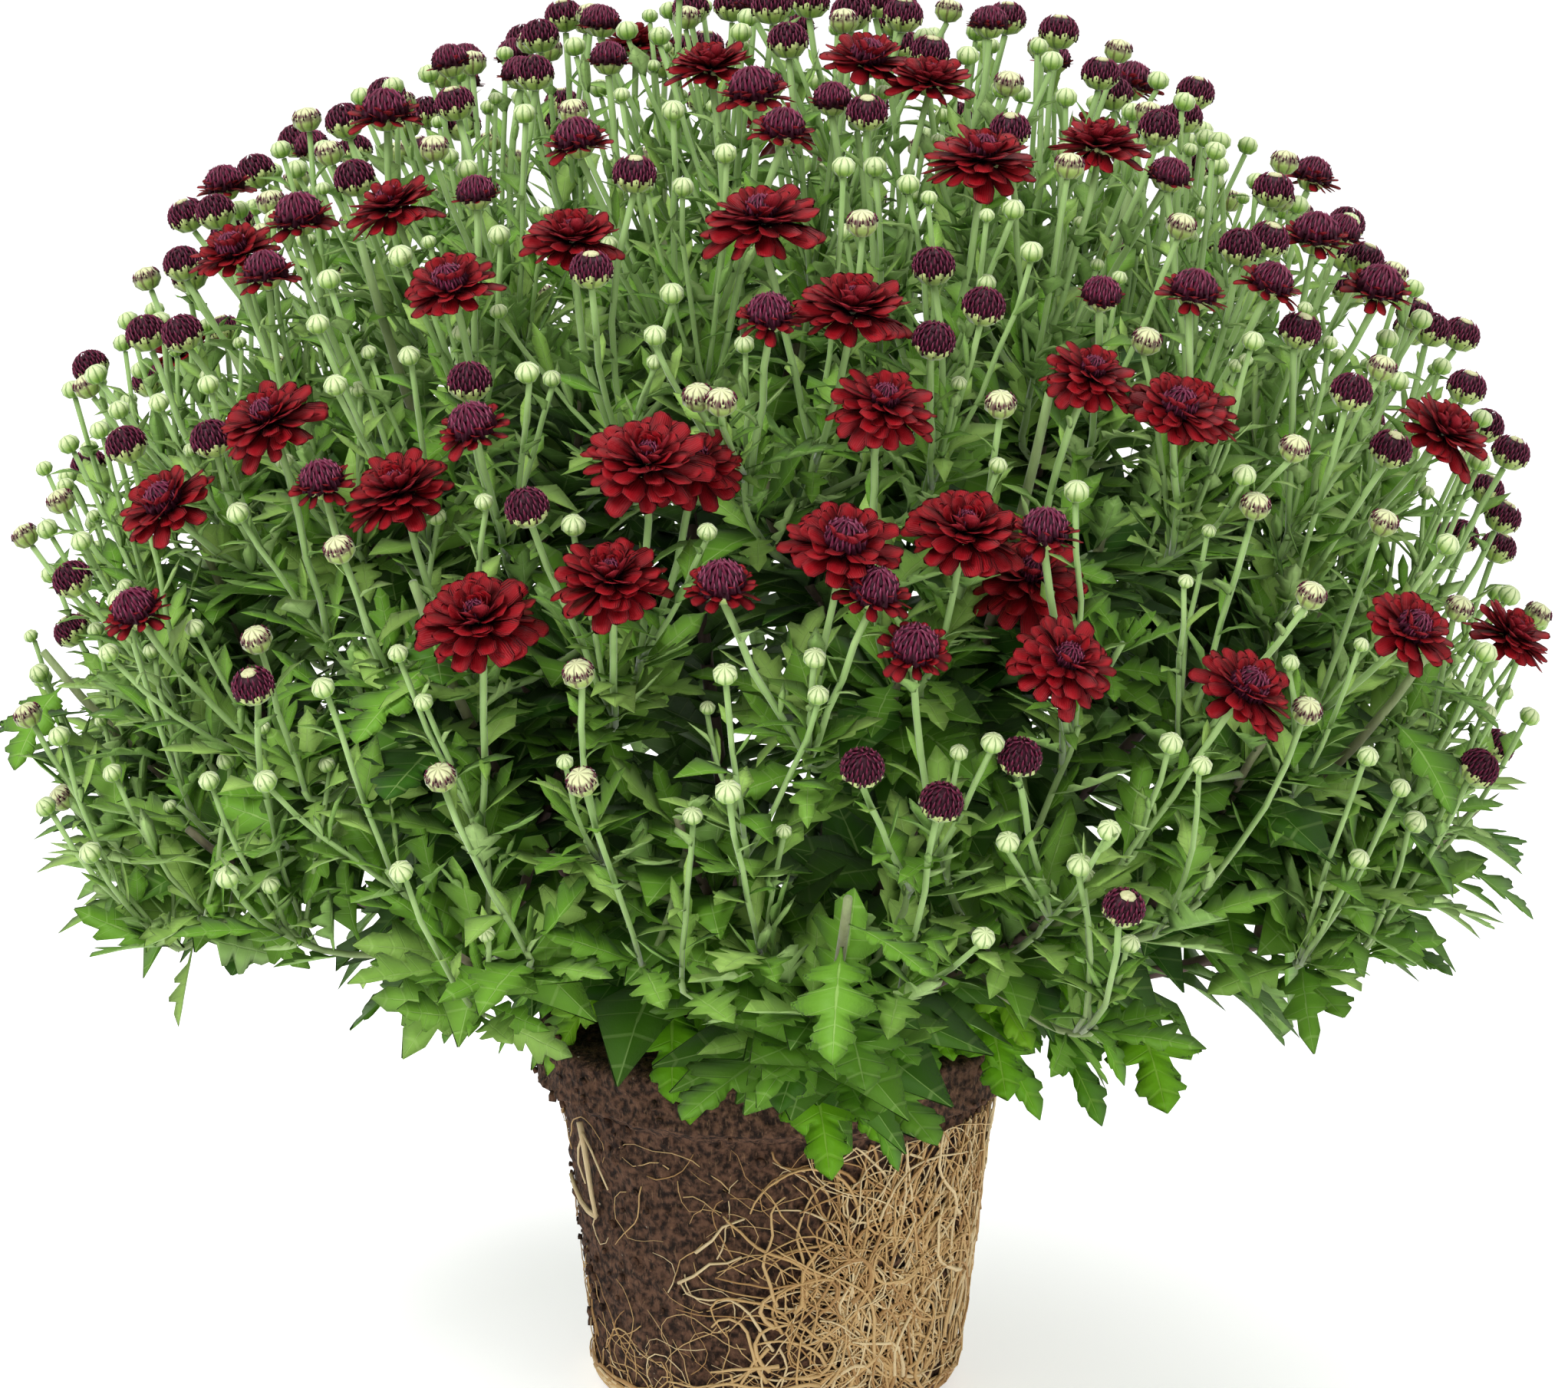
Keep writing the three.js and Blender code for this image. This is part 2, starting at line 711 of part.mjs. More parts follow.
// A body is clear where it meets nothing of another node, and of its own node only its parent.
function clear(body, owner, parent = null) {
  const box = body.boundingBox();
  return grown.every((other) => {
    const joined = other.owner === owner && (parent === null || other.part === parent);
    if (joined || !boxesMeet(box, other.box)) {
      return true;
    }
    return body.intersect(other.body).volume() < LEAST_OVERLAP;
  });
}

function grow(owner, body, part = '') {
  grown.push({ owner, body, part, box: body.boundingBox() });
}

// The sprays' boughs and cores.
const sprays = lattice(SPRAYS, 0).map((spot, i) => {
  const point = domePoint(spot);
  return { name: 'spray_' + String(i + 1).padStart(2, '0'), spot, point, curve: stemCourse(point) };
});

function nearestOther(spray, point) {
  let nearest = Infinity;
  for (const other of sprays) {
    for (let share = 0.2; other !== spray && share < 1; share += 0.05) {
      nearest = Math.min(nearest, other.curve.getPoint(share).distanceTo(point));
    }
  }
  return nearest;
}

for (const spray of sprays) {
  spray.near = sideOf(spray.point);
  const reachAt = (share) => {
    return Math.min(CORE_WIDEST, nearestOther(spray, spray.curve.getPoint(share)) / 2 - 1);
  };
  spray.coreRadius = reachAt(CORE_MIDDLE);
  grow(spray.name, boughWithCore(spray.curve, spray.near, reachAt), 'bough');
  const start = spray.curve.getPoint(0);
  const below = new THREE.Vector3(start.x, start.y, HOLE_BOTTOM);
  const over = new THREE.Vector3(start.x, start.y, BALL_HEIGHT + 12);
  const bore = BOUGH_RADIUS + 2 * GAP;
  spray.hole = loft([ring(below, UP, spray.near, 6, bore), ring(over, UP, spray.near, 6, bore)]);
}

const ball = rootBall(sprays.map((spray) => spray.hole));
grow('root_ball', ball);
const mat = rootMat();
grow('root_mat', mat);

// The forks, where the side branches of each spray divide into flower stalks.
function nearestSpray(point) {
  return sprays.reduce((best, spray) => {
    return spray.point.distanceTo(point) < best.point.distanceTo(point) ? spray : best;
  });
}

const forks = lattice(FORKS, 3).map((spot, i) => {
  const point = domePoint(spot);
  const spray = nearestSpray(point);
  const course = stemCourse(point);
  const share = FORK_SHARE + spread(i, 8, FORK_SWAY);
  const tip = course.getPoint(share);
  return { name: 'fork_' + i, spray, point, tip, along: course.getTangent(share), heads: [] };
});

// The heads: flowers at their measured places and the larger ones once more behind.
function headAt(kind, point, size, number) {
  const lean = leanOf(point, size < SEPARATE_BLOOM ? UPWARD_PULL : FLOWER_PULL);
  lean.x += spread(number, 9, LEAN_SHAKE);
  lean.y += spread(number, 10, LEAN_SHAKE);
  lean.normalize();
  return { kind, point, size, lean, bow: STALK_BOWS[0] };
}

function flowers(list, kind) {
  const heads = [];
  list.forEach(([across, down, size, depth], i) => {
    const point = sightedPoint(across, down, depth);
    heads.push(headAt(kind, point, size, i));
    if (i % TWIN_STEP !== 0) {
      return;
    }
    const behind = new THREE.Vector3(-point.x, -point.y, point.z);
    if (heads.every((head) => head.point.distanceTo(behind) > 2 * size)) {
      heads.push(headAt(kind, behind, size, i + 100));
    }
  });
  return heads;
}

const open = flowers(OPEN_FLOWERS, 'cup');
for (const head of open) {
  head.kind = head.size < SEPARATE_BLOOM ? 'opening' : 'cup';
}
const heads = [...open, ...flowers(OPENING_FLOWERS, 'opening')];
const blooms = heads.filter((head) => head.kind === 'cup');

// Petals first: each bloom sinks along its stalk until it is clear of the others.
blooms.forEach((head, i) => {
  head.name = 'bloom_' + String(i + 1).padStart(2, '0');
  head.point.addScaledVector(head.lean, -BLOOM_SINK * head.size);
  for (let tries = 0; tries < SINK_TRIES; tries += 1) {
    head.base = head.point.clone().addScaledVector(head.lean, BLOOM_NECK * head.size + GAP);
    if (clear(bloom(head, GAP), head.name)) {
      break;
    }
    head.point.addScaledVector(head.lean, -SINK_STEP);
  }
  grow(head.name, bloom(head), head.name);
});
for (const head of heads) {
  if (head.kind === 'opening') {
    head.point.addScaledVector(head.lean, -OPENING_SINK * head.size);
  }
}

function byDistance(list, point) {
  return [...list].sort((a, b) => a.point.distanceTo(point) - b.point.distanceTo(point));
}

for (const head of heads) {
  byDistance(forks, head.point)[0].heads.push(head);
}

// Buds fill each fork up to its number of heads, from places spread evenly over the dome.
const budPlaces = lattice(HEADS, 2.2).map((spot, i) => {
  const size = BUD_SIZE + BUD_SIZE_RANGE * draw(i, 12);
  const depth = BUD_DEPTH + BUD_DEPTH_RANGE * draw(i, 11);
  return headAt('bud', domePoint(spot, depth), size, i + 200);
});
const placed = [...heads];
for (const fork of forks) {
  for (const bud of byDistance(budPlaces, fork.point).slice(0, BUDS_TRIED)) {
    const room = placed.every((head) => {
      return head.point.distanceTo(bud.point) > HEAD_SPACING + SPACING_SHARE * head.size;
    });
    if (fork.heads.length < HEADS_A_FORK && room) {
      fork.heads.push(bud);
      placed.push(bud);
    }
  }
}

// Each bloom's own petals are left out of the test of the stalk that carries it.
function clearStalk(body, head, owner, parent) {
  const own = grown.findIndex((entry) => head.name && entry.owner === head.name);
  const petals = own < 0 ? [] : grown.splice(own, 1);
  const free = clear(body, owner, parent);
  grown.push(...petals);
  return free;
}

// Each stalk tries courses with more or less bow and shorter blades until one is clear.
const TRIES = BLADE_LENGTHS.flatMap((blade) => STALK_BOWS.map((bow) => [blade, bow]));

function growMain(fork) {
  for (const head of fork.heads) {
    for (const [blade, bow] of TRIES) {
      head.bow = bow;
      const test = mainStem(fork, head, blade, GAP);
      if (clearStalk(test, head, fork.spray.name, 'bough')) {
        grow(fork.spray.name, mainStem(fork, head, blade), fork.name);
        fork.main = head;
        return;
      }
    }
  }
}

function growSide(head, choices, strict) {
  for (const fork of choices) {
    for (const bow of STALK_BOWS) {
      head.bow = bow;
      const parent = strict ? fork.name : null;
      const test = sideStalk(fork, head, GAP);
      if (fork.main && clearStalk(test, head, fork.spray.name, parent)) {
        grow(fork.spray.name, sideStalk(fork, head), 'stalk');
        return true;
      }
    }
  }
  return false;
}

// A flower may grow from any fork near it, and where no course is clear of its spray's other stems,
// its stalk may join one of them.
function growFlower(head) {
  const choices = byDistance(forks, head.point).slice(0, FORKS_TRIED);
  if (growSide(head, choices, true)) {
    return true;
  }
  return growSide(head, choices, false);
}

forks.forEach(growMain);
for (const fork of forks) {
  for (const head of fork.heads) {
    if (head === fork.main) {
      continue;
    }
    const grew = head.kind === 'bud' ? growSide(head, [fork], true) : growFlower(head);
    if (!grew && head.kind !== 'bud') {
      throw new Error('a flower has no clear stalk');
    }
  }
}

// Large leaves hang from the low boughs over the ball. Each turns aside until it is clear.
function growLeaf(spray, [share, turn, length, fall], number) {
  const root = spray.curve.getPoint(share);
  const along = spray.curve.getTangent(share);
  const out = new THREE.Vector3(along.x, along.y, 0).normalize();
  const shake = spread(number, 13, LEAF_SHAKE);
  const edge = spray.coreRadius * Math.max(0, 1 - Math.abs(share - CORE_MIDDLE) / 0.28);
  const build = (aside, swell) => {
    const heading = out.clone().applyAxisAngle(UP, radians(turn + aside + shake));
    const base = root.clone().addScaledVector(heading, 0.8 * edge);
    base.z -= 0.25 * edge;
    return leaf(LARGE_LEAF, LEAF_RIB, base, heading, UP, length, fall, swell);
  };
  const aside = LEAF_TURNS.find((more) => clear(build(more, GAP), spray.name, 'bough'));
  if (aside !== undefined) {
    grow(spray.name, build(aside, 0), 'leaf');
  }
}

const lowSprays = sprays.filter((spray) => spray.spot.rise < radians(SKIRT_BELOW_RISE));
lowSprays.forEach((spray, i) => {
  SKIRT.forEach((station, k) => growLeaf(spray, station, i * SKIRT.length + k + 1));
});

// The finished nodes.
const GREEN = new THREE.MeshStandardMaterial({ color: 0x4f8a35, roughness: 0.6, metalness: 0 });
const CRIMSON = new THREE.MeshStandardMaterial({ color: 0x8f0a16, roughness: 0.7, metalness: 0 });
const SOIL = new THREE.MeshStandardMaterial({ color: 0x33231b, roughness: 0.95, metalness: 0 });
const ROOTS = new THREE.MeshStandardMaterial({ color: 0xc9a878, roughness: 0.85, metalness: 0 });

const plantGroup = new THREE.Group();

// The bodies of a node joined in one, with any hollow that joining seals filled.
function addNode(name, material) {
  const bodies = grown.filter((entry) => entry.owner === name).map((entry) => entry.body);
  const parts = wasm.Manifold.union(bodies).decompose();
  const whole = parts.reduce((most, part) => (part.volume() > most.volume() ? part : most));
  const size = WELDS.find((trial) => isClosed(weld(whole, trial)));
  const mesh = new THREE.Mesh(geometryOf(weld(whole, size)), material);
  mesh.name = name;
  plantGroup.add(mesh);
}

addNode('root_ball', SOIL);
addNode('root_mat', ROOTS);
for (const spray of sprays) {
  addNode(spray.name, GREEN);
}
for (const head of blooms) {
  addNode(head.name, CRIMSON);
}

export default plantGroup;
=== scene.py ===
# %% [markdown]
# # A garden chrysanthemum on its bare root ball
#
# The plant has been lifted out of its nursery pot, so the root ball still has the pot's shape.
# Above it a dome of several hundred flower stalks opens like a fan: green buds, buds that crack
# and show colour, round maroon buds and open crimson flowers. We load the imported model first. It
# is a coarse frame at the real size, and every fine piece that we model takes the place of a part
# of it. Lengths are in metres, the origin is under the middle of the ball, and Z is up.

# %% The frame
import json
import math

import bpy
import numpy as np
from mathutils import Matrix, Vector

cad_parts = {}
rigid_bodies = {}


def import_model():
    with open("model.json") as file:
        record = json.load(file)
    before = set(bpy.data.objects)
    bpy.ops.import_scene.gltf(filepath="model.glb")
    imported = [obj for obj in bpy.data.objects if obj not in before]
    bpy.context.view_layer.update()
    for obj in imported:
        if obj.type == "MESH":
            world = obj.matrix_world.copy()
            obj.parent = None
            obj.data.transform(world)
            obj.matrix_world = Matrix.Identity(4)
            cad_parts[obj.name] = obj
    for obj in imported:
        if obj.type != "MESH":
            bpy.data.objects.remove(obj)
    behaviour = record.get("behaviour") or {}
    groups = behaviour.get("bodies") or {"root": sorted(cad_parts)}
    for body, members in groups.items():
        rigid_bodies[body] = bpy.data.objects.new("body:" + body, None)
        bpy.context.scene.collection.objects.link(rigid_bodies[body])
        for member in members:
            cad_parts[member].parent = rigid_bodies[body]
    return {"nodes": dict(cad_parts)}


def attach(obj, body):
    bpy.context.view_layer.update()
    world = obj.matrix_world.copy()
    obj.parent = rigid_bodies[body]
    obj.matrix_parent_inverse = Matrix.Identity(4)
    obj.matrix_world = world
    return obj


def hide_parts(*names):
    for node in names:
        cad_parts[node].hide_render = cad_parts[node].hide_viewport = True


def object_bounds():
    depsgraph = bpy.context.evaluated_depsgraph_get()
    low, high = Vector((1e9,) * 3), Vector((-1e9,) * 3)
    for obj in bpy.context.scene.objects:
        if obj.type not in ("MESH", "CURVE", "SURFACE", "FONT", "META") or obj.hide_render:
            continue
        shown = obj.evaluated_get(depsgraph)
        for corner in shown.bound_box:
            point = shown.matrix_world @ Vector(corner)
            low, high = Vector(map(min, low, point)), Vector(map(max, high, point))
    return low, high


MM = 0.001
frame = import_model()
cad_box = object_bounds()
cad_size = (cad_box[1] - cad_box[0]) / MM
print("frame:", len(frame["nodes"]), "nodes,", [round(side) for side in cad_size], "mm")

# %% [markdown]
# ## The point of view
#
# The camera comes first, because some flowers are placed by where they are seen in the picture.
# The picture looks a little down on the plant from far away. Its scale on the root ball and the
# way the rim band curves give the distance and the pitch, and the focal length follows in pixels.

# %% The camera
PICTURE_WIDTH = 2044
PICTURE_HEIGHT = 1809
SIGHT_FOCAL = 5958
SIGHT_DISTANCE = 1.8
SIGHT_PITCH = math.radians(11.5)
SIGHT_AIM = Vector((3.6, 0, 281)) * MM

forward = Vector((0, math.cos(SIGHT_PITCH), -math.sin(SIGHT_PITCH)))
above = Vector((0, math.sin(SIGHT_PITCH), math.cos(SIGHT_PITCH)))
eye = SIGHT_AIM - forward * SIGHT_DISTANCE
bpy.ops.object.camera_add(location=eye, rotation=(math.pi / 2 - SIGHT_PITCH, 0, 0))
camera = bpy.context.object
camera.data.lens = camera.data.sensor_width * SIGHT_FOCAL / PICTURE_WIDTH
bpy.context.scene.camera = camera
print("camera:", [round(value, 3) for value in eye], "lens", round(camera.data.lens, 1), "mm")

# %% [markdown]
# ## Floor and light
#
# The real plant was photographed on white under soft light from every side, a little stronger
# from above and in front. A bright sky gives the first, and three wide softboxes the second: the
# key in front on the left, one above, and a weak one low on the right. The floor is a plain pale
# disc, wide enough to fill the picture.

# %% Floor, sky and softboxes
FLOOR_RADIUS = 30
SKY_STRENGTH = 0.7

bpy.ops.mesh.primitive_circle_add(vertices=64, radius=FLOOR_RADIUS, fill_type="NGON")
floor = bpy.context.object
floor.name = "floor"

world = bpy.data.worlds.new("pale_sky")
world.use_nodes = True
sky = world.node_tree.nodes["Background"]
sky.inputs["Color"].default_value = (1, 1, 1, 1)
sky.inputs["Strength"].default_value = SKY_STRENGTH
bpy.context.scene.world = world
bpy.context.scene.view_settings.view_transform = "Standard"


def softbox(name, place, size, power):
    """A square lamp that faces the middle of the plant."""
    bpy.ops.object.light_add(type="AREA", location=place)
    lamp = bpy.context.object
    lamp.name = name
    lamp.data.size = size
    lamp.data.energy = power
    lamp.rotation_euler = (SIGHT_AIM - Vector(place)).to_track_quat("-Z", "Y").to_euler()


softbox("key_softbox", (-1.3, -1.7, 2.3), 1.2, 62)
softbox("top_softbox", (0.5, 0.6, 2.4), 1.8, 24)
softbox("low_softbox", (1.7, -1.6, 0.5), 1.4, 14)
print("light: a sky at", SKY_STRENGTH, "and three softboxes")

# %% [markdown]
# ## How the plant grows
#
# A real dome is even but never regular. A spiral with the golden angle spreads directions evenly
# over it, and a small repeatable draw shakes each one. Every stem leaves the crown nearly level
# on the outside and upright in the middle, and then turns up to the light. The coarse frame was
# grown by the same rule, so the fine stems lie where its stems lie.

# %% The rule of growth
SEED = 7
DOME_RADIUS = 303 * MM
DOME_CENTRE = 300 * MM
DOME_UP = 258 * MM
DOME_DOWN = 215 * MM
LOWEST_RISE = math.radians(-14)
CROWN_HEIGHT = 163 * MM
CROWN_INNER = 10 * MM
CROWN_SPREAD = 31 * MM
UPWARD_PULL = 0.9
BOW = 0.5
GOLDEN_ANGLE = math.pi * (3 - math.sqrt(5))
UP = Vector((0, 0, 1))


def draw(item, purpose):
    """A repeatable number between 0 and 1 for one item and one purpose."""
    wave = math.sin(12.9898 * item + 78.233 * purpose + SEED) * 43758.5453
    return wave - math.floor(wave)


def spread(item, purpose, size):
    return (draw(item, purpose) - 0.5) * 2 * size


def between(item, purpose, low, high):
    return low + (high - low) * draw(item, purpose)


def any_turn(item, purpose):
    return 2 * math.pi * draw(item, purpose)


def clamp(value):
    return min(1, max(0, value))


def on_ring(turn, radius=1.0, height=0.0):
    """The point in one direction on a level ring round the middle."""
    return Vector((radius * math.cos(turn), radius * math.sin(turn), height))


def directions(count, wobble):
    """Turn and rise of directions spread evenly over the dome, shaken by wobble degrees."""
    lowest = math.sin(LOWEST_RISE)
    found = []
    for i in range(count):
        height = lowest + (1 - lowest) * (i + 0.5) / count
        rise = math.asin(height) + math.radians(spread(i, count + 1, wobble))
        sway = math.radians(spread(i, count + 2, wobble)) / max(0.3, math.cos(rise))
        found.append((i * GOLDEN_ANGLE + sway, rise))
    return found


def dome_point(turn, rise, depth=0.0):
    """The point of the dome in one direction, sunk by a depth."""
    tall = DOME_UP if rise > 0 else DOME_DOWN
    share = 1 - depth / DOME_RADIUS
    flat = DOME_RADIUS * share * math.cos(rise)
    return on_ring(turn, flat, DOME_CENTRE + tall * share * math.sin(rise))


def crown_point(point):
    """Where the stem towards a point leaves the soil."""
    turn = math.atan2(point.y, point.x)
    radius = CROWN_INNER + CROWN_SPREAD * math.hypot(point.x, point.y) / DOME_RADIUS
    return on_ring(turn, radius, CROWN_HEIGHT)


def lean_of(point):
    """The way a head faces: outwards, and up towards the light."""
    away = (point - crown_point(point)).normalized()
    return (away + UP * UPWARD_PULL).normalized()


class Course:
    """A stem's course: a curve from a start towards a bend and on to an end."""

    def __init__(self, start, bend, end):
        self.start = start
        self.bend = bend
        self.end = end

    def at(self, share):
        return self.start.lerp(self.bend, share).lerp(self.bend.lerp(self.end, share), share)

    def along(self, share):
        first = (self.bend - self.start) * (1 - share)
        return (first + (self.end - self.bend) * share).normalized()


def stem_course(point):
    start = crown_point(point)
    bend = point - lean_of(point) * (BOW * (point - start).length)
    return Course(start, bend, point)


BOUGHS = 15
LIMBS = 45
boughs = [stem_course(dome_point(turn, rise)) for turn, rise in directions(BOUGHS, 0)]
print("growth:", BOUGHS, "boughs from the crown")

# %% [markdown]
# ## Where the flower heads are
#
# The open flowers are nodes of the frame, so their places are read from it: the axis of a
# flower is the direction in which its points spread least. The opening flowers are measured in
# the picture, and a line of sight from the camera finds them on the dome. The buds fill the rest
# by the rule, and give way where a flower needs the room.

# %% Open and opening flowers
BLOOM_HEIGHT_SHARE = 0.56
BLOOM_NECK_SHARE = 0.24
OPENING_SINK = 0.35
LEAN_SHAKE = 0.12
TWIN_STEP = 3
TWIN_NUMBERS = 100

# Pixel across, pixel down, width in mm, depth in mm and the number that shakes its lean.
OPENING_FLOWERS = [
    (172, 787, 28, 0, 0), (613, 545, 28, 0, 1), (417, 618, 26, 0, 2), (345, 345, 27, 0, 3),
    (751, 172, 28, 0, 4), (1002, 380, 26, -14, 5), (1384, 672, 27, -16, 6), (1194, 836, 28, 0, 7),
    (1150, 755, 28, -16, 8), (940, 751, 28, 0, 9), (1559, 370, 28, 0, 10), (1661, 360, 26, 0, 11),
    (268, 212, 26, -14, 12), (1022, 158, 26, 0, 13), (1801, 365, 30, 0, 24), (981, 107, 30, 0, 29),
    (501, 135, 30, 0, 30), (388, 271, 30, 0, 33), (1717, 296, 30, 0, 34),
]


def shaken_lean(point, number):
    lean = lean_of(point)
    lean.x += spread(number, 9, LEAN_SHAKE)
    lean.y += spread(number, 10, LEAN_SHAKE)
    return lean.normalized()


def head(kind, neck, lean, radius, number):
    return {"kind": kind, "neck": neck, "lean": lean, "radius": radius, "number": number}


def read_bloom(node, number):
    """The neck, lean and radius of an open flower, from its coarse node."""
    points = np.array([vertex.co for vertex in node.data.vertices])
    axis = Vector(np.linalg.svd(points - points.mean(0))[2][2])
    if axis.z < 0:
        axis = -axis
    heights = points @ np.array(axis)
    base = Vector(points[heights.argmin()])
    lean = (Vector(points[heights.argmax()]) - base).normalized()
    radius = (heights.max() - heights.min()) / BLOOM_HEIGHT_SHARE
    return head("bloom", base - lean * (BLOOM_NECK_SHARE * radius), lean, radius, number)


def sighted_point(across, down, depth):
    """The point of the dome that is seen at one pixel, or the nearest one past its edge."""
    ray = forward + Vector((1, 0, 0)) * ((across - PICTURE_WIDTH / 2) / SIGHT_FOCAL)
    ray += above * ((PICTURE_HEIGHT / 2 - down) / SIGHT_FOCAL)
    squash = Vector((1 / DOME_RADIUS, 1 / DOME_RADIUS, 1 / DOME_UP))
    centre = UP * DOME_CENTRE
    start = (eye - centre) * squash
    step = ray * squash
    a, b, c = step.dot(step), start.dot(step), start.dot(start) - 1
    reach = (-b - math.sqrt(max(0, b * b - a * c))) / a
    point = eye + ray * (reach + depth)
    bound = ((point - centre) * squash).length
    return point if bound <= 1 else centre + (point - centre) / bound


bloom_nodes = sorted(name for name in frame["nodes"] if name.startswith("bloom_"))
heads = [read_bloom(frame["nodes"][name], i) for i, name in enumerate(bloom_nodes)]


def room_around(point):
    """The distance to the nearest head, less that head's radius."""
    return min((other["neck"] - point).length - other["radius"] for other in heads)


def add_opening(point, radius, number):
    lean = shaken_lean(point, number)
    neck = point - lean * (OPENING_SINK * 2 * radius)
    heads.append(head("opening", neck, lean, radius, number))


for across, down, wide, depth, number in OPENING_FLOWERS:
    point = sighted_point(across, down, depth * MM)
    radius = wide * MM / 2
    add_opening(point, radius, number)
    twin = Vector((-point.x, -point.y, point.z))
    if number % TWIN_STEP == 0 and room_around(twin) > 3 * radius:
        add_opening(twin, radius, number + TWIN_NUMBERS)
print("flowers:", len(bloom_nodes), "open,", len(heads) - len(bloom_nodes), "opening")

# %% [markdown]
# Buds ripen from the top of the dome down, so a bud that stands high is more often maroon and one
# that stands low is more often green. A few late green buds sit deeper, among the stalks. The top
# of the dome is the most crowded, and low down, where leaves take over, many places stay empty.

# %% Buds
RULE_BUDS = 620
TOP_BUDS = 480
LATE_BUDS = 330
FIRST_RULE_BUD = 200
FIRST_LATE_BUD = 900
FIRST_TOP_BUD = 1500
LATE_GAP = 1.3
TOP_FROM = math.radians(38)
TOP_RIPENS = 0.34
LOW_SHARE = 0.45
CROWDED_RISE = math.radians(27)

# For each kind the ripeness it starts from, its radius in mm and what ripeness adds to that.
RIPENING = [
    ("green", -1, 4.9, 1.6), ("cracking", 0.47, 6.2, 0),
    ("maroon", 0.67, 6.4, 1.4), ("half_open", 1.02, 9.5, 0),
]


def ripen(item, rise):
    """The kind and the radius of a bud."""
    ripeness = draw(item, 12) + TOP_RIPENS * (math.sin(max(0, rise)) - 0.5)
    kind, _, radius, growth = [row for row in RIPENING if ripeness >= row[1]][-1]
    return kind, (radius + growth * ripeness) * MM


def add_bud(kind, turn, rise, depth, radius, number, gap=1.0):
    if draw(number, 34) > LOW_SHARE + (1 - LOW_SHARE) * max(0, rise) / CROWDED_RISE:
        return
    point = dome_point(turn, rise, depth * MM)
    if room_around(point) > gap * radius:
        heads.append(head(kind, point, shaken_lean(point, number), radius, number))


for i, (turn, rise) in enumerate(directions(RULE_BUDS, 2.2)):
    kind, radius = ripen(i, rise)
    add_bud(kind, turn, rise, between(i, 11, 4, 20), radius, i + FIRST_RULE_BUD)
for i, (turn, rise) in enumerate(directions(TOP_BUDS, 3)):
    if rise > TOP_FROM:
        kind, radius = ripen(i + RULE_BUDS, rise)
        add_bud(kind, turn + 0.5, rise, between(i, 16, 6, 26), radius, i + FIRST_TOP_BUD)
for i, (turn, rise) in enumerate(directions(LATE_BUDS, 5)):
    radius = between(i, 13, 3.2, 4.7) * MM
    add_bud("green", turn + 1, rise, between(i, 14, 10, 50), radius, i + FIRST_LATE_BUD, LATE_GAP)
print("heads:", len(heads))

# %% [markdown]
# ## Finishes
#
# Shader maths is easier to read as Python. `Wire` wraps one socket and turns the signs of
# arithmetic into Math nodes, and `Finish` holds one material and adds any other node to it. What
# changes over a surface only feeds colour, roughness and the normal, so that it can be baked.

# %% The shader helpers
def paint(red, green, blue):
    """A linear colour from the 0 to 255 numbers of a colour picker."""
    return [*(((value / 255 + 0.055) / 1.055) ** 2.4 for value in (red, green, blue)), 1]


def reckon(operation, swapped=False):
    """A method that adds one Math node."""
    def method(self, other=0):
        first, second = (other, self) if swapped else (self, other)
        return self.finish.node("ShaderNodeMath", {"operation": operation}, {0: first, 1: second})
    return method


class Wire:
    """A socket that Python can reckon with."""

    __add__, __radd__ = reckon("ADD"), reckon("ADD", True)
    __sub__, __rsub__ = reckon("SUBTRACT"), reckon("SUBTRACT", True)
    __mul__, __rmul__ = reckon("MULTIPLY"), reckon("MULTIPLY", True)
    __abs__ = reckon("ABSOLUTE")
    wave = reckon("SINE")
    highest = reckon("MAXIMUM")

    def __init__(self, finish, socket):
        self.finish = finish
        self.socket = socket


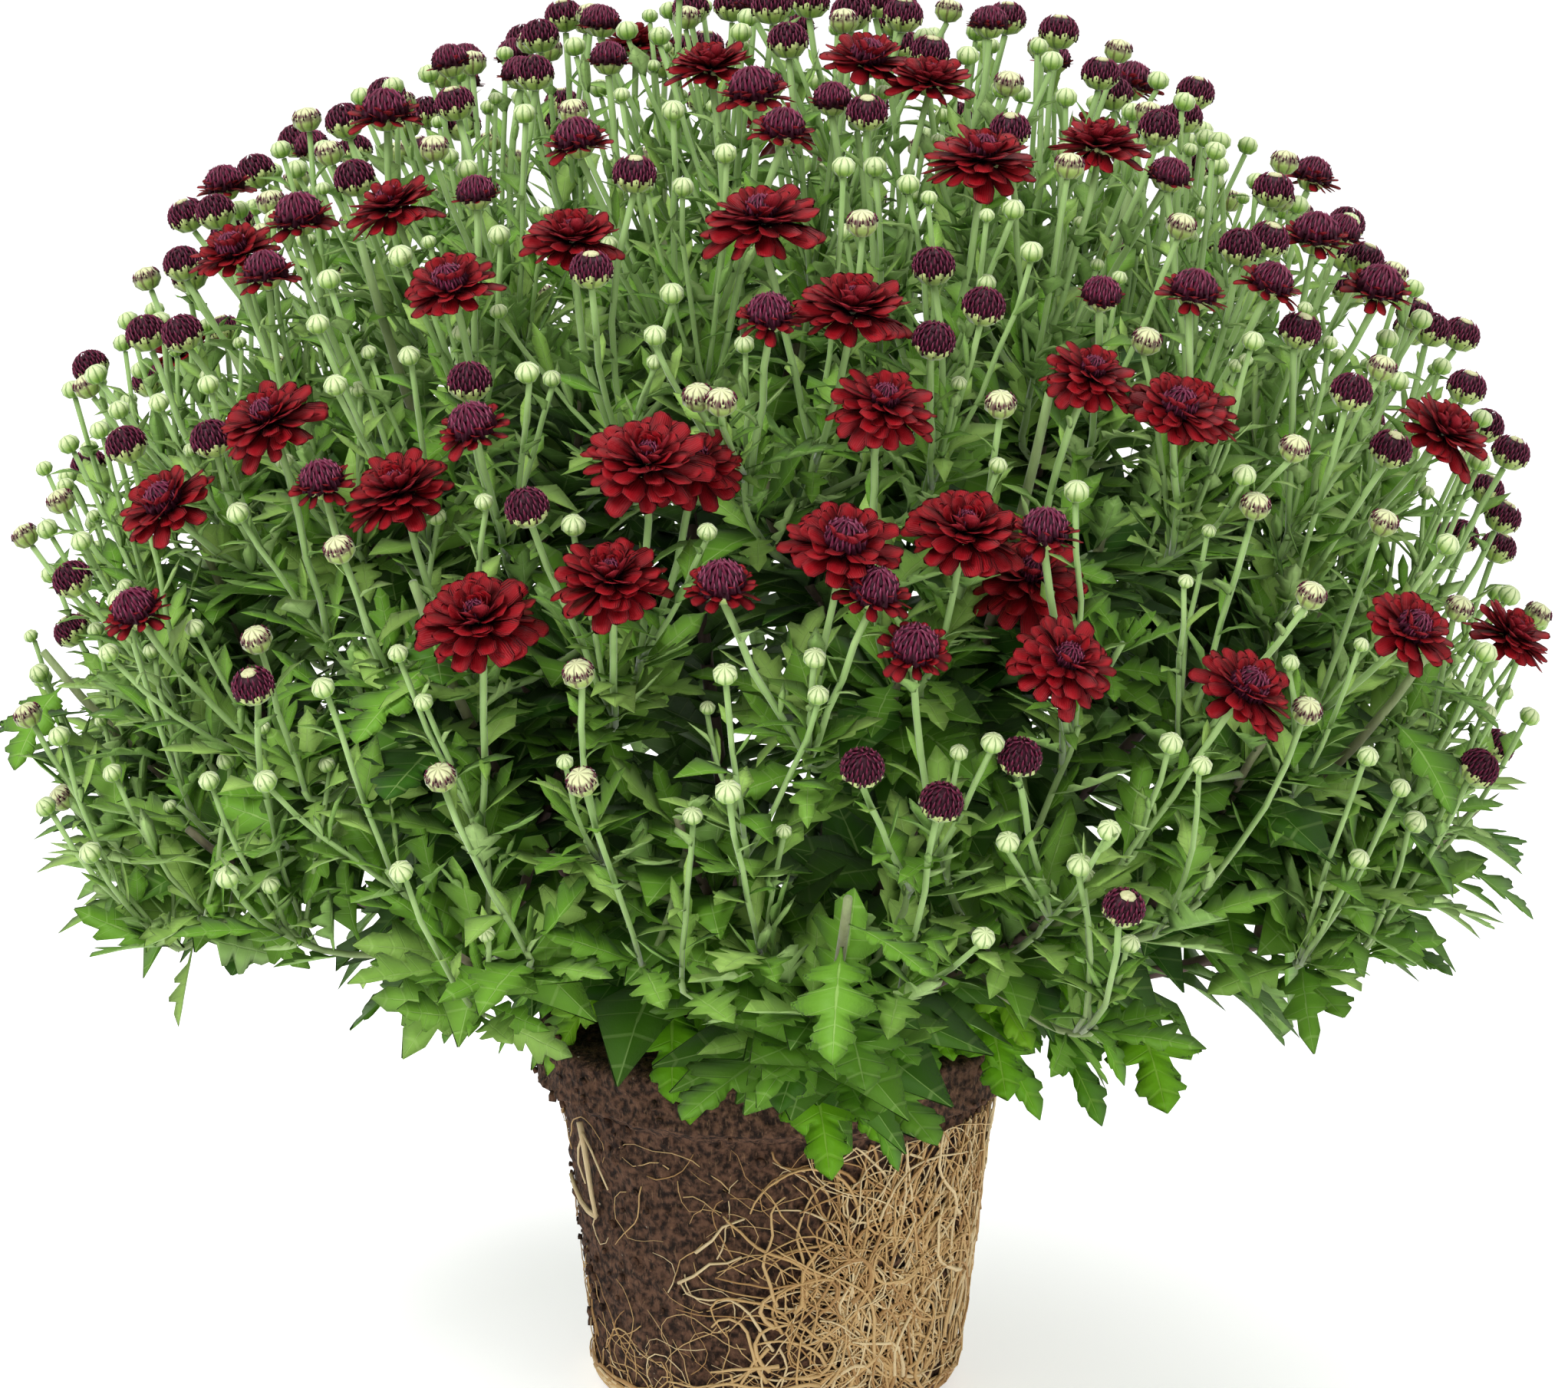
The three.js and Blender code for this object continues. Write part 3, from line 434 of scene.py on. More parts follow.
class Finish:
    """A material with one Principled surface, and the ways to add nodes before it."""

    def __init__(self, name):
        self.material = bpy.data.materials.new(name)
        self.material.use_nodes = True
        self.tree = self.material.node_tree
        self.tree.nodes.clear()
        self.surface = self.tree.nodes.new("ShaderNodeBsdfPrincipled")
        output = self.tree.nodes.new("ShaderNodeOutputMaterial")
        self.tree.links.new(self.surface.outputs[0], output.inputs[0])

    def put(self, socket, value):
        if isinstance(value, Wire):
            self.tree.links.new(value.socket, socket)
        else:
            socket.default_value = value

    def node(self, kind, settings=None, values=None, output=0):
        added = self.tree.nodes.new(kind)
        for key, setting in (settings or {}).items():
            setattr(added, key, setting)
        for key, value in (values or {}).items():
            self.put(added.inputs[key], value)
        return Wire(self, added.outputs[output])

    def set(self, values):
        for key, value in values.items():
            self.put(self.surface.inputs[key], value)
        return self.material

    def attribute(self, name):
        return self.node("ShaderNodeAttribute", {"attribute_name": name}, output=2)

    def place(self, stretch=(1, 1, 1)):
        spot = self.node("ShaderNodeTexCoord", output=3)
        return self.node("ShaderNodeMapping", values={"Vector": spot, "Scale": stretch})

    def noise(self, scale, detail=3, stretch=(1, 1, 1)):
        values = {"Vector": self.place(stretch), "Scale": scale, "Detail": detail}
        return self.node("ShaderNodeTexNoise", values=values)

    def cells(self, scale):
        values = {"Vector": self.place(), "Scale": scale}
        return self.node("ShaderNodeTexVoronoi", values=values)

    def sheet(self, axis):
        spot = self.node("ShaderNodeUVMap", {"uv_map": "UVMap"})
        return self.node("ShaderNodeSeparateXYZ", values={0: spot}, output=axis)

    def step(self, value, low, high):
        """0 below low, 1 above high and smooth between, or the other way round."""
        values = {"Value": value, "From Min": low, "From Max": high}
        return self.node("ShaderNodeMapRange", {"interpolation_type": "SMOOTHSTEP"}, values)

    def mix(self, factor, first, second):
        values = {0: factor, 6: first, 7: second}
        return self.node("ShaderNodeMix", {"data_type": "RGBA"}, values, output=2)

    def bump(self, height, distance):
        return self.node("ShaderNodeBump", values={"Height": height, "Distance": distance})


floor_finish = Finish("pale_floor")
FLOOR_WHITE = (0.8, 0.8, 0.8, 1)
FLOOR_GLOW = 0.5
floor.data.materials.append(floor_finish.set({
    "Base Color": FLOOR_WHITE, "Roughness": 0.9,
    "Emission Color": (1, 1, 1, 1), "Emission Strength": FLOOR_GLOW,
}))
print("finishes: helpers ready")

# %% [markdown]
# ### Leaves
#
# A leaf's upper face is green with a paler midrib and a vein into each lobe. The veins are drawn
# on the leaf's own sheet of coordinates, where one side runs along the leaf and the other across
# it, so they bend with the leaf. Each leaf also carries a tone that is partly its own and partly
# painted shade: darker deep in the dome and paler low down. The back is paler and greyer, as it is
# covered in fine down.

# %% Leaf finishes
VEIN_ROWS = (0.32, 0.47, 0.64, 0.8, 0.92)
LEAF_DOWN = 0.04


def leaf_finish(name, roughness, *colours):
    """Colours are the dark, middle and light ones of a leaf and that of its veins."""
    dark, middle, light, vein = (paint(*colour) for colour in colours)
    finish = Finish(name)
    tone = finish.attribute("tone")
    along = finish.sheet(0)
    across = abs(finish.sheet(1) - 0.5)
    body = finish.mix(finish.step(tone, 0, 0.55), dark, middle)
    body = finish.mix(finish.step(tone, 0.55, 1), body, light)
    body = finish.mix(finish.noise(90) * 0.34, body, dark)
    rib = finish.step(across, 0.03, 0.01)
    veins = rib
    for row in VEIN_ROWS:
        veins = veins.highest(finish.step(abs(along - row), 0.01, 0.003) * 0.5)
    body = finish.mix(veins * 0.4, body, vein)
    grain = finish.noise(900, 2) * 0.25 - veins * 0.5
    return finish.set({
        "Base Color": body, "Roughness": finish.noise(300) * 0.2 + (roughness - 0.1),
        "Normal": finish.bump(grain, 0.4 * MM), "Specular IOR Level": 0.2,
        "Sheen Weight": LEAF_DOWN, "Sheen Roughness": 0.5,
    })


skirt_skins = (
    leaf_finish("skirt_leaf", 0.5, (76, 130, 8), (104, 164, 18), (128, 182, 34), (168, 206, 90)),
    leaf_finish("skirt_leaf_back", 0.65, (92, 142, 44), (116, 162, 60), (138, 178, 80), (158, 194, 104)),
)
upper_skins = (
    leaf_finish("upper_leaf", 0.55, (44, 88, 10), (108, 158, 46), (162, 198, 100), (168, 198, 118)),
    leaf_finish("upper_leaf_back", 0.7, (70, 108, 40), (128, 166, 84), (168, 198, 124), (168, 198, 128)),
)
print("finishes: four for leaves")

# %% [markdown]
# ### Stems
#
# Young stalks are pale green with a bloom of down. The boughs are old wood near the crown, brown
# with a purple cast, and turn green towards the light. The distance from the crown drives that
# change.

# %% Stem finishes
DOWN_ON_STALKS = 0.35


def stem_finish(name, wood_end, green_start):
    finish = Finish(name)
    crown = finish.node(
        "ShaderNodeVectorMath", {"operation": "DISTANCE"},
        {0: finish.place(), 1: (0, 0, CROWN_HEIGHT)}, output=1
    )
    streaks = finish.noise(260, 4, (1, 1, 0.2))
    age = finish.step(crown + streaks * 0.06, green_start, wood_end)
    green = finish.mix(finish.noise(70), paint(108, 144, 68), paint(158, 188, 118))
    wood = finish.mix(streaks, paint(62, 44, 42), paint(130, 102, 96))
    return finish.set({
        "Base Color": finish.mix(age, green, wood), "Roughness": 0.7 - streaks * 0.15,
        "Normal": finish.bump(streaks, 0.5 * MM), "Sheen Weight": DOWN_ON_STALKS,
        "Sheen Roughness": 0.4,
    })


bough_skin = stem_finish("bough_skin", 0.25, 0.42)
stalk_skin = stem_finish("stalk_skin", 0.19, 0.34)
print("finishes: two for stems")

# %% [markdown]
# ### Petals
#
# A petal is velvety: dark where it grows out of the flower, partly its own colour and partly
# painted shade in the heart of the flower, clear crimson over its length, and lighter at the tip,
# partly its own colour and partly a painted highlight. Fine furrows run along it. The back is
# duller and pinker. Closed florets in the button are dark maroon, darkest at their base, which is
# painted shade between them, with a pinkish tip that is a painted highlight.

# %% Petal finishes
VELVET = 0.03
FURROWS = 60


def petal_finish(name, *colours):
    root, middle, tip = (paint(*colour) for colour in colours)
    finish = Finish(name)
    along = finish.attribute("tip")
    tone = finish.attribute("tone")
    across = finish.sheet(1)
    furrows = (across * FURROWS).wave() * 0.5 + 0.5
    # Darker towards the root: partly the petal's colour, partly painted shade in the heart of the
    # flower.
    body = finish.mix(finish.step(along, 0.1, 0.55), root, middle)
    # Lighter towards the tip: partly the petal's colour, partly a painted highlight.
    body = finish.mix(finish.step(along + tone * 0.25, 0.55, 1.2), body, tip)
    body = finish.mix(finish.noise(260) * 0.3, body, root)
    return finish.set({
        "Base Color": body, "Roughness": 0.5 + furrows * 0.1,
        "Normal": finish.bump(furrows * 0.4 + finish.noise(700), 0.25 * MM),
        "Specular IOR Level": 0.22, "Sheen Weight": VELVET, "Sheen Roughness": 0.35,
        "Sheen Tint": (1, 0.45, 0.5, 1),
    })


petal_skins = (
    petal_finish("petal_face", (54, 0, 8), (118, 0, 14), (156, 4, 20)),
    petal_finish("petal_back", (74, 2, 14), (120, 8, 24), (152, 34, 46)),
)
# Maroon florets: their darkest root colour is painted shade between them, and their pinkish tip is a
# painted highlight.
maroon_floret = petal_finish("maroon_floret", (46, 4, 24), (108, 20, 56), (192, 112, 144))
print("finishes: three for petals")

# %% [markdown]
# ### Buds and sepals
#
# A bud's green sepals stand round it like the staves of a barrel. On the bud's own sheet of
# coordinates one side runs round it, so a wave with as many crests as there are sepals paints
# them, and the other side runs from the stalk to the top, which fades to cream.

# %% Bud finishes
SEPALS = 8


def sepal_finish(name, top_from, flecked, *colours):
    """The top's colour starts at a share of the height, and a higher flecked gives fewer flecks."""
    seam, body, top, fleck = (paint(*colour) for colour in colours)
    finish = Finish(name)
    around = finish.sheet(0)
    height = finish.sheet(1)
    crest = (around * (2 * math.pi * SEPALS)).wave() * 0.5 + 0.5
    whole = finish.mix(finish.step(height, top_from - 0.22, top_from + 0.16), body, top)
    whole = finish.mix(finish.noise(330) * 0.4, whole, body)
    seams = finish.step(crest, 0.22, 0.02) * (0.75 - finish.step(height, 0.75, 0.97) * 0.4)
    whole = finish.mix(seams, whole, seam)
    flecks = finish.step(finish.noise(620), flecked, flecked + 0.12)
    flecks = flecks * finish.step(abs(height - top_from), 0.16, 0.04)
    whole = finish.mix(flecks * 0.8, whole, fleck)
    return finish.set({
        "Base Color": whole, "Roughness": 0.6 + crest * 0.1,
        "Normal": finish.bump(crest + finish.noise(600), 0.3 * MM),
        "Sheen Weight": DOWN_ON_STALKS, "Sheen Roughness": 0.4,
    })


green_bud_skin = sepal_finish(
    "green_bud_skin", 0.55, 0.6, (80, 120, 38), (126, 166, 58), (212, 222, 172), (96, 112, 60)
)
cracking_bud_skin = sepal_finish(
    "cracking_bud_skin", 0.6, 0.4, (84, 66, 38), (140, 164, 78), (218, 220, 172), (70, 16, 34)
)
calyx_skin = sepal_finish(
    "calyx_skin", 0.45, 0.6, (66, 84, 28), (136, 164, 66), (206, 208, 152), (84, 24, 40)
)

eye_skin = Finish("cream_eye")
eye_skin = eye_skin.set({
    "Base Color": eye_skin.mix(eye_skin.noise(900), paint(150, 150, 100), paint(222, 222, 176)),
    "Roughness": 0.7, "Normal": eye_skin.bump(eye_skin.noise(900), 0.3 * MM),
})
print("finishes: four for buds and sepals")

# %% [markdown]
# ### Peat and roots
#
# Moist peat is dark, nearly black in the hollows of its relief, partly its own colour and partly
# painted shade, and warm brown on its crumbs, with pale grains here and there. Roots are cream to
# tan, and each has its own tone.

# %% Peat and root finishes
peat = Finish("peat")
crumbs = peat.noise(340, 6)
fibres = peat.noise(900, 4, (1, 1, 0.35))
grains = peat.step(peat.cells(210), 0.16, 0.08) * peat.step(peat.noise(60), 0.58, 0.66)
# The relief's noise also sets the colour, so its hollows are near black: partly peat, partly painted
# shade.
peat_body = peat.mix(peat.step(crumbs, 0.35, 0.68), paint(32, 21, 16), paint(98, 70, 54))
peat_body = peat.mix(peat.step(fibres, 0.55, 0.8) * 0.6, peat_body, paint(146, 112, 84))
peat_body = peat.mix(grains * 0.7, peat_body, paint(206, 190, 168))
peat_skin = peat.set({
    "Base Color": peat_body, "Roughness": 0.95 - fibres * 0.15, "Specular IOR Level": 0.2,
    "Normal": peat.bump(crumbs + fibres * 0.6, 1.6 * MM),
})

root = Finish("root_skin")
root_tone = root.attribute("tone")
root_body = root.mix(root.step(root_tone, 0, 0.6), paint(164, 124, 74), paint(204, 170, 114))
root_body = root.mix(root.step(root_tone, 0.6, 1), root_body, paint(226, 206, 162))
root_body = root.mix(root.noise(240, 4) * 0.5, root_body, paint(148, 108, 62))
root_skin = root.set({
    "Base Color": root_body, "Roughness": 0.75 - root.noise(500) * 0.15,
    "Normal": root.bump(root.noise(1400, 3, (1, 1, 0.3)), 0.3 * MM),
})
print("finishes: peat and roots")

# %% [markdown]
# ## Modelling helpers
#
# The operators act on whatever is selected, so each piece starts from nothing selected. `stamp`
# makes the copies of a model: each copy has its own mesh, stands where its matrix says, gets its
# tone, and all are joined in one piece at the end.

# %% The helpers
pieces = {}


def select_only(*chosen):
    bpy.ops.object.select_all(action="DESELECT")
    for piece in chosen:
        piece.select_set(True)
    bpy.context.view_layer.objects.active = chosen[0]


def modify(piece, kind, **settings):
    """Adds a modifier and applies it."""
    modifier = piece.modifiers.new(kind.title(), kind)
    for key, value in settings.items():
        setattr(modifier, key, value)
    select_only(piece)
    bpy.ops.object.modifier_apply(modifier=modifier.name)


def settle(piece):
    """Moves a piece's place and turn into its mesh."""
    select_only(piece)
    bpy.ops.object.transform_apply(location=True, rotation=True, scale=True)


def close_seams(piece, distance=1e-6):
    select_only(piece)
    bpy.ops.object.mode_set(mode="EDIT")
    bpy.ops.mesh.select_all(action="SELECT")
    bpy.ops.mesh.remove_doubles(threshold=distance)
    bpy.ops.object.mode_set(mode="OBJECT")


def shape(piece, move):
    """Moves every point of a piece by a rule, as a sculptor's hand would."""
    for vertex in piece.data.vertices:
        vertex.co = move(vertex.co)


def note(piece, name, rule):
    """Writes a number on every point of a piece for its finish to read."""
    layer = piece.data.attributes.get(name) or piece.data.attributes.new(name, "FLOAT", "POINT")
    layer.data.foreach_set("value", [float(rule(vertex.co)) for vertex in piece.data.vertices])


def triangles(piece):
    return sum(len(face.vertices) - 2 for face in piece.data.polygons)


def join(parts, name):
    select_only(*parts)
    bpy.ops.object.join()
    whole = bpy.context.object
    whole.name = name
    whole.data.name = name
    return whole


def copy_of(model, matrix, tone=None):
    """A copy with its own mesh, put in place by a matrix."""
    copy = model.copy()
    copy.data = model.data.copy()
    copy.data.transform(matrix)
    bpy.context.collection.objects.link(copy)
    if tone is not None:
        count = len(copy.data.vertices)
        copy.data.attributes["tone"].data.foreach_set("value", [tone] * count)
    return copy


def stamp(name, places):
    """Joins copies of models in one piece. places has (model, matrix, tone) for each copy."""
    whole = join([copy_of(*place) for place in places], name)
    pieces[name] = whole
    print(name + ":", len(places), "copies,", triangles(whole), "triangles")


def put_away(*models):
    for model in models:
        bpy.data.objects.remove(model)


def laid(root_point, heading, face, length, wide=1.0):
    """The matrix of a leaf or petal: X along its heading and Z out of its upper face."""
    heading = heading.normalized()
    side = face.cross(heading).normalized()
    up = heading.cross(side)
    turned = Matrix((heading * length, side * length * wide, up * length)).transposed().to_4x4()
    return Matrix.Translation(root_point) @ turned


def upright(neck, lean, size, spin):
    """The matrix of a head: Z along its lean, turned about it by spin."""
    turned = lean.to_track_quat("Z", "Y").to_matrix().to_4x4()
    return Matrix.Translation(neck) @ turned @ Matrix.Rotation(spin, 4, "Z") @ Matrix.Scale(size, 4)


print("helpers: ready")

# %% [markdown]
# ## The root ball
#
# The ball is moulded by the pot: a gentle taper, and a wider band where the pot's rim was. As by
# hand, it starts as a disc, and its edge is extruded up step by step and scaled to the pot's
# profile. Two displacements then break the smooth skin up, one in lumps and one in crumbs, while
# a vertex group keeps the underside flat, because the ball stands on it. Loose crumbs are small
# rocks half sunk into the skin.

# %% The peat body
BALL_HEIGHT = 150 * MM
FLAT_RADIUS = 60 * MM
EDGE_HEIGHT = 13 * MM
FOOT_RADIUS = 73 * MM
BODY_TOP = 122 * MM
BODY_TOP_RADIUS = 86 * MM
RIM_BOTTOM = 128 * MM
RIM_RADIUS = 96 * MM
RIM_TOP = 146 * MM
BALL_SIDES = 230
SIDE_STEP = 2 * MM
TOP_RINGS = 22
FLAT_FOOT = 4 * MM


def ball_radius(height):
    """Radius of the moulded skin at a height."""
    if height < EDGE_HEIGHT:
        rise = (EDGE_HEIGHT - height) / EDGE_HEIGHT
        return FLAT_RADIUS + (FOOT_RADIUS - FLAT_RADIUS) * math.sqrt(max(0, 1 - rise * rise))
    if height < BODY_TOP:
        share = (height - EDGE_HEIGHT) / (BODY_TOP - EDGE_HEIGHT)
        return FOOT_RADIUS + (BODY_TOP_RADIUS - FOOT_RADIUS) * share
    if height < RIM_BOTTOM:
        share = (height - BODY_TOP) / (RIM_BOTTOM - BODY_TOP)
        return BODY_TOP_RADIUS + (RIM_RADIUS - 1 * MM - BODY_TOP_RADIUS) * share
    over = max(0, height - RIM_TOP) / (BALL_HEIGHT - RIM_TOP)
    return RIM_RADIUS - 5 * MM * over * over


def displace(piece, kind, scale, strength, group):
    texture = bpy.data.textures.new(kind.lower() + "_relief", kind)
    texture.noise_scale = scale
    modify(piece, "DISPLACE", texture=texture, strength=strength, vertex_group=group, mid_level=0.6)


bpy.ops.mesh.primitive_circle_add(vertices=BALL_SIDES, radius=FLAT_RADIUS, fill_type="TRIFAN")
ball = bpy.context.object
bpy.ops.object.mode_set(mode="EDIT")
bpy.ops.mesh.select_all(action="SELECT")
bpy.ops.mesh.flip_normals()
bpy.ops.mesh.region_to_loop()
height = 0
radius = FLAT_RADIUS
while height < BALL_HEIGHT - 1e-6:
    climb = min(SIDE_STEP, BALL_HEIGHT - height)
    wider = ball_radius(height + climb) / radius
    bpy.ops.mesh.extrude_region_move(TRANSFORM_OT_translate={"value": (0, 0, climb)})
    bpy.ops.transform.resize(value=(wider, wider, 1))
    height += climb
    radius *= wider
for ring in range(TOP_RINGS, 0, -1):
    inwards = ring / (ring + 1)
    bpy.ops.mesh.extrude_region_move()
    bpy.ops.transform.resize(value=(inwards, inwards, 1))
bpy.ops.mesh.merge(type="CENTER")
bpy.ops.object.mode_set(mode="OBJECT")

relief = ball.vertex_groups.new(name="relief")
for vertex in ball.data.vertices:
    relief.add([vertex.index], clamp(vertex.co.z / FLAT_FOOT), "REPLACE")
displace(ball, "CLOUDS", 26 * MM, 4.5 * MM, "relief")
displace(ball, "CLOUDS", 6 * MM, 3.2 * MM, "relief")
displace(ball, "VORONOI", 3.4 * MM, 1.6 * MM, "relief")
print("peat body:", len(ball.data.polygons), "faces")

# %% Loose crumbs
CRUMBS = 760
CRUMBS_INSET = 4 * MM
SMALLEST_CRUMB = 0.7
CRUMB_RANGE = 1.9

bpy.ops.mesh.primitive_ico_sphere_add(subdivisions=1, radius=1)
crumb = bpy.context.object
shape(crumb, lambda co: co * between(round(97 * (co.x + 2 * co.y + 3 * co.z)), 21, 0.75, 1.25))
crumb_places = []
for i in range(CRUMBS):
    turn = any_turn(i, 22)
    height = between(i, 23, CRUMBS_INSET, BALL_HEIGHT - CRUMBS_INSET)
    out = ball_radius(height)
    if i % 3 == 0:
        height = BALL_HEIGHT
        out = (RIM_RADIUS - CRUMBS_INSET) * math.sqrt(draw(i, 24))
    size = (SMALLEST_CRUMB + CRUMB_RANGE * draw(i, 25) ** 2) * MM
    tilt = Vector((draw(i, 26), draw(i, 27), 1))
    crumb_places.append((crumb, upright(on_ring(turn, out, height), tilt, size, turn)))
loose = join([copy_of(*place) for place in crumb_places], "crumbs")
put_away(crumb)
soil = join([ball, loose], "soil")
soil.data.materials.clear()
soil.data.materials.append(peat_skin)
bpy.ops.object.shade_smooth()
pieces["soil"] = soil
print("soil:", triangles(soil), "triangles")

# %% [markdown]
# ## The roots
#
# A pot-bound plant wraps its ball in roots. On the right they lie in a dense felt of mostly
# upright strands, in the middle they wander and cross, on the left only fine ones show, and a
# thick ring circles the bottom edge. Each root is a curve that walks over the ball's skin one
# short step at a time, and a round bevel gives it its thickness.

# %% Curves that become round stems
def rods(name):
    """An empty curve object whose radii are in millimetres."""
    data = bpy.data.curves.new(name, "CURVE")
    data.dimensions = "3D"
    data.bevel_depth = MM
    data.use_fill_caps = True
    thing = bpy.data.objects.new(name, data)
    bpy.context.collection.objects.link(thing)
    return thing


def rod(thing, points, radii):
    spline = thing.data.splines.new("POLY")
    spline.points.add(len(points) - 1)
    for place, point, radius in zip(spline.points, points, radii):
        place.co = (*point, 1)
        place.radius = radius


def solid_rods(thing, roundness, tone):
    """Turns the curves into one closed mesh."""
    thing.data.bevel_resolution = roundness
    select_only(thing)
    bpy.ops.object.convert(target="MESH")
    mesh_piece = bpy.context.object
    close_seams(mesh_piece)
    note(mesh_piece, "tone", lambda co: tone)
    bpy.ops.object.shade_smooth()
    return mesh_piece


# %% The walk of a root
MAT_TURN = math.radians(20)
ROOT_TONES = (0.15, 0.45, 0.7, 0.95)
STEP = 4.5 * MM
ROOTS_FROM = 3 * MM
ROOTS_TO = RIM_BOTTOM - 8 * MM
FELT_SIDE = 74
FELT_FADE = 40


def matted(turn, height):
    """How dense the felt is: 1 on the right, less towards the middle and the top, 0 on the left."""
    side = abs(math.degrees(math.remainder(turn - MAT_TURN, 2 * math.pi)))
    side += 34 * (height / BALL_HEIGHT - 0.3)
    reach = clamp(1 - (side - FELT_SIDE) / FELT_FADE)
    top = (70 + 56 * reach) * MM
    return reach * clamp((top - height) / (12 * MM) + 0.3)


def root_walk(number, turn, height, steps, heading, curl, lift):
    """Points of a root over the ball's skin: heading 0 is level and a right angle is upright."""
    points = []
    swing = 0
    for i in range(steps):
        swing = 0.75 * swing + spread(number * 61 + i, 31, curl)
        heading += swing
        height += STEP * math.sin(heading)
        if not ROOTS_FROM < height < ROOTS_TO:
            heading = -heading
            height = min(max(height, ROOTS_FROM), ROOTS_TO)
        radius = ball_radius(height)
        turn += STEP * math.cos(heading) / radius
        out = radius + lift + spread(number * 17 + i, 32, 0.5 * MM)
        points.append(on_ring(turn, out, height))
    return points


def taper(count, thick, tip=0.45):
    return [thick * (1 - (1 - tip) * i / (count - 1)) for i in range(count)]


# %% The felt, the wanderers, the fine roots and the bottom ring
FELT = 470
WANDERERS = 380
FINE = 280
RING = 64
FIRST_FINE = 2000
FIRST_OF_RING = 3000
RING_STEPS = 20
root_sets = [rods("roots_" + str(k)) for k in range(len(ROOT_TONES))]


def add_root(number, points, thick):
    chosen = root_sets[int(draw(number, 41) * len(root_sets))]
    rod(chosen, points, taper(len(points), thick))


def lay_root(number, turn, height, heading, fewest, more, curl, lift, thick):
    steps = fewest + int(more * draw(number, 46))
    add_root(number, root_walk(number, turn, height, steps, heading, curl, lift), thick)


for i in range(FELT):
    turn = MAT_TURN + math.radians(spread(i, 42, 96))
    height = between(i, 43, 6, 90) * MM
    if matted(turn, height) > 0.8 * draw(i, 44):
        heading = math.pi / 2 + spread(i, 45, 0.5)
        lift = between(i, 47, 0.2, 2.6) * MM
        lay_root(i, turn, height, heading, 8, 10, 0.16, lift, 0.42 + 0.55 * draw(i, 48) ** 2)
for i in range(FELT, FELT + WANDERERS):
    turn = MAT_TURN - math.radians(between(i, 42, 45, 117)) if i % 4 else any_turn(i, 42)
    height = between(i, 43, 6, 90) * MM
    if matted(turn, height) > 0.12 * draw(i, 44):
        lift = between(i, 47, 0.6, 2.6) * MM
        lay_root(i, turn, height, any_turn(i, 45), 7, 9, 0.42, lift, 0.4 + 0.75 * draw(i, 48) ** 2)
for i in range(FIRST_FINE, FIRST_FINE + FINE):
    height = (4 + 112 * draw(i, 43) ** 2.2) * MM
    thick = between(i, 48, 0.2, 0.42)
    lay_root(i, any_turn(i, 42), height, any_turn(i, 45), 6, 8, 0.5, 0.2 * MM, thick)
for i in range(FIRST_OF_RING, FIRST_OF_RING + RING):
    turn = any_turn(i, 42)
    level = between(i, 43, 3, 12) * MM
    lift = between(i, 47, 0.6, 2.2) * MM
    points = []
    for k in range(RING_STEPS):
        rise = level + spread(i * 13 + k, 49, 1.1 * MM)
        points.append(on_ring(turn + k * STEP / FOOT_RADIUS * 1.5, ball_radius(rise) + lift, rise))
    add_root(i, points, between(i, 48, 0.6, 1.1))

# %% The thick pale roots on the left, and the finished mat
PALE_LIFT = 1.2 * MM

# Turn in degrees and height in mm of each point of a root. The first two are the thickest.
PALE_ROOTS = [
    [(-152, 118), (-151, 108), (-150.5, 98), (-150, 88), (-149, 80)],
    [(-149, 80), (-153, 80), (-158, 82), (-163, 86), (-167, 90)],
    [(-151, 114), (-147, 108), (-144, 101), (-141, 94)],
    [(-151.5, 112), (-155, 106), (-156.5, 99), (-153, 92)],
    [(-112, 76), (-107, 82), (-104, 88), (-98, 92)],
    [(-118, 62), (-113, 66), (-108, 72), (-103, 73), (-99, 76)],
]
for number, stations in enumerate(PALE_ROOTS):
    walk = [
        on_ring(math.radians(turn), ball_radius(height * MM) + PALE_LIFT, height * MM)
        for turn, height in stations
    ]
    rod(root_sets[-1], walk, taper(len(walk), 1.5 if number < 2 else 0.7, 0.6))

strands = [solid_rods(thing, 0, tone) for thing, tone in zip(root_sets, ROOT_TONES)]
roots = join(strands, "roots")
roots.data.materials.append(root_skin)
pieces["roots"] = roots
print("roots:", triangles(roots), "triangles")

# %% [markdown]
# ## Stems
#
# Boughs leave the crown and carry limbs, a limb carries twigs, and each twig ends in a bunch of
# stalks with one head each. Every head looks for the nearest twig and every twig for the nearest
# limb, as the coarse frame's heads do, so no stalk hangs in the air.

# %% Limbs and twigs
TWIGS = 230
LIMB_START = 0.5
LIMB_END = 0.74
TWIG_START = 0.62
TWIG_END = 0.77
STALK_REACH = 62 * MM


def nearest(list_of_places, point, key):
    return min(list_of_places, key=lambda place: (key(place) - point).length)


def branch(parent, share, tip, along, pull=0.45):
    start = parent.at(share)
    return Course(start, tip - along * (pull * (tip - start).length), tip)


limbs = []
for i, (turn, rise) in enumerate(directions(LIMBS, 3)):
    point = dome_point(turn, rise)
    course = stem_course(point)
    share = LIMB_END + spread(i, 8, 0.03)
    bough = nearest(boughs, point, lambda place: place.end)
    limbs.append(branch(bough, LIMB_START, course.at(share), course.along(share)))

twigs = []
for i, (turn, rise) in enumerate(directions(TWIGS, 4)):
    point = dome_point(turn, rise)
    course = stem_course(point)
    share = TWIG_END + spread(i, 51, 0.05)
    tip = course.at(share)
    limb = nearest(limbs, tip, lambda place: place.end)
    twigs.append(branch(limb, TWIG_START + spread(i, 52, 0.25), tip, course.along(share)))

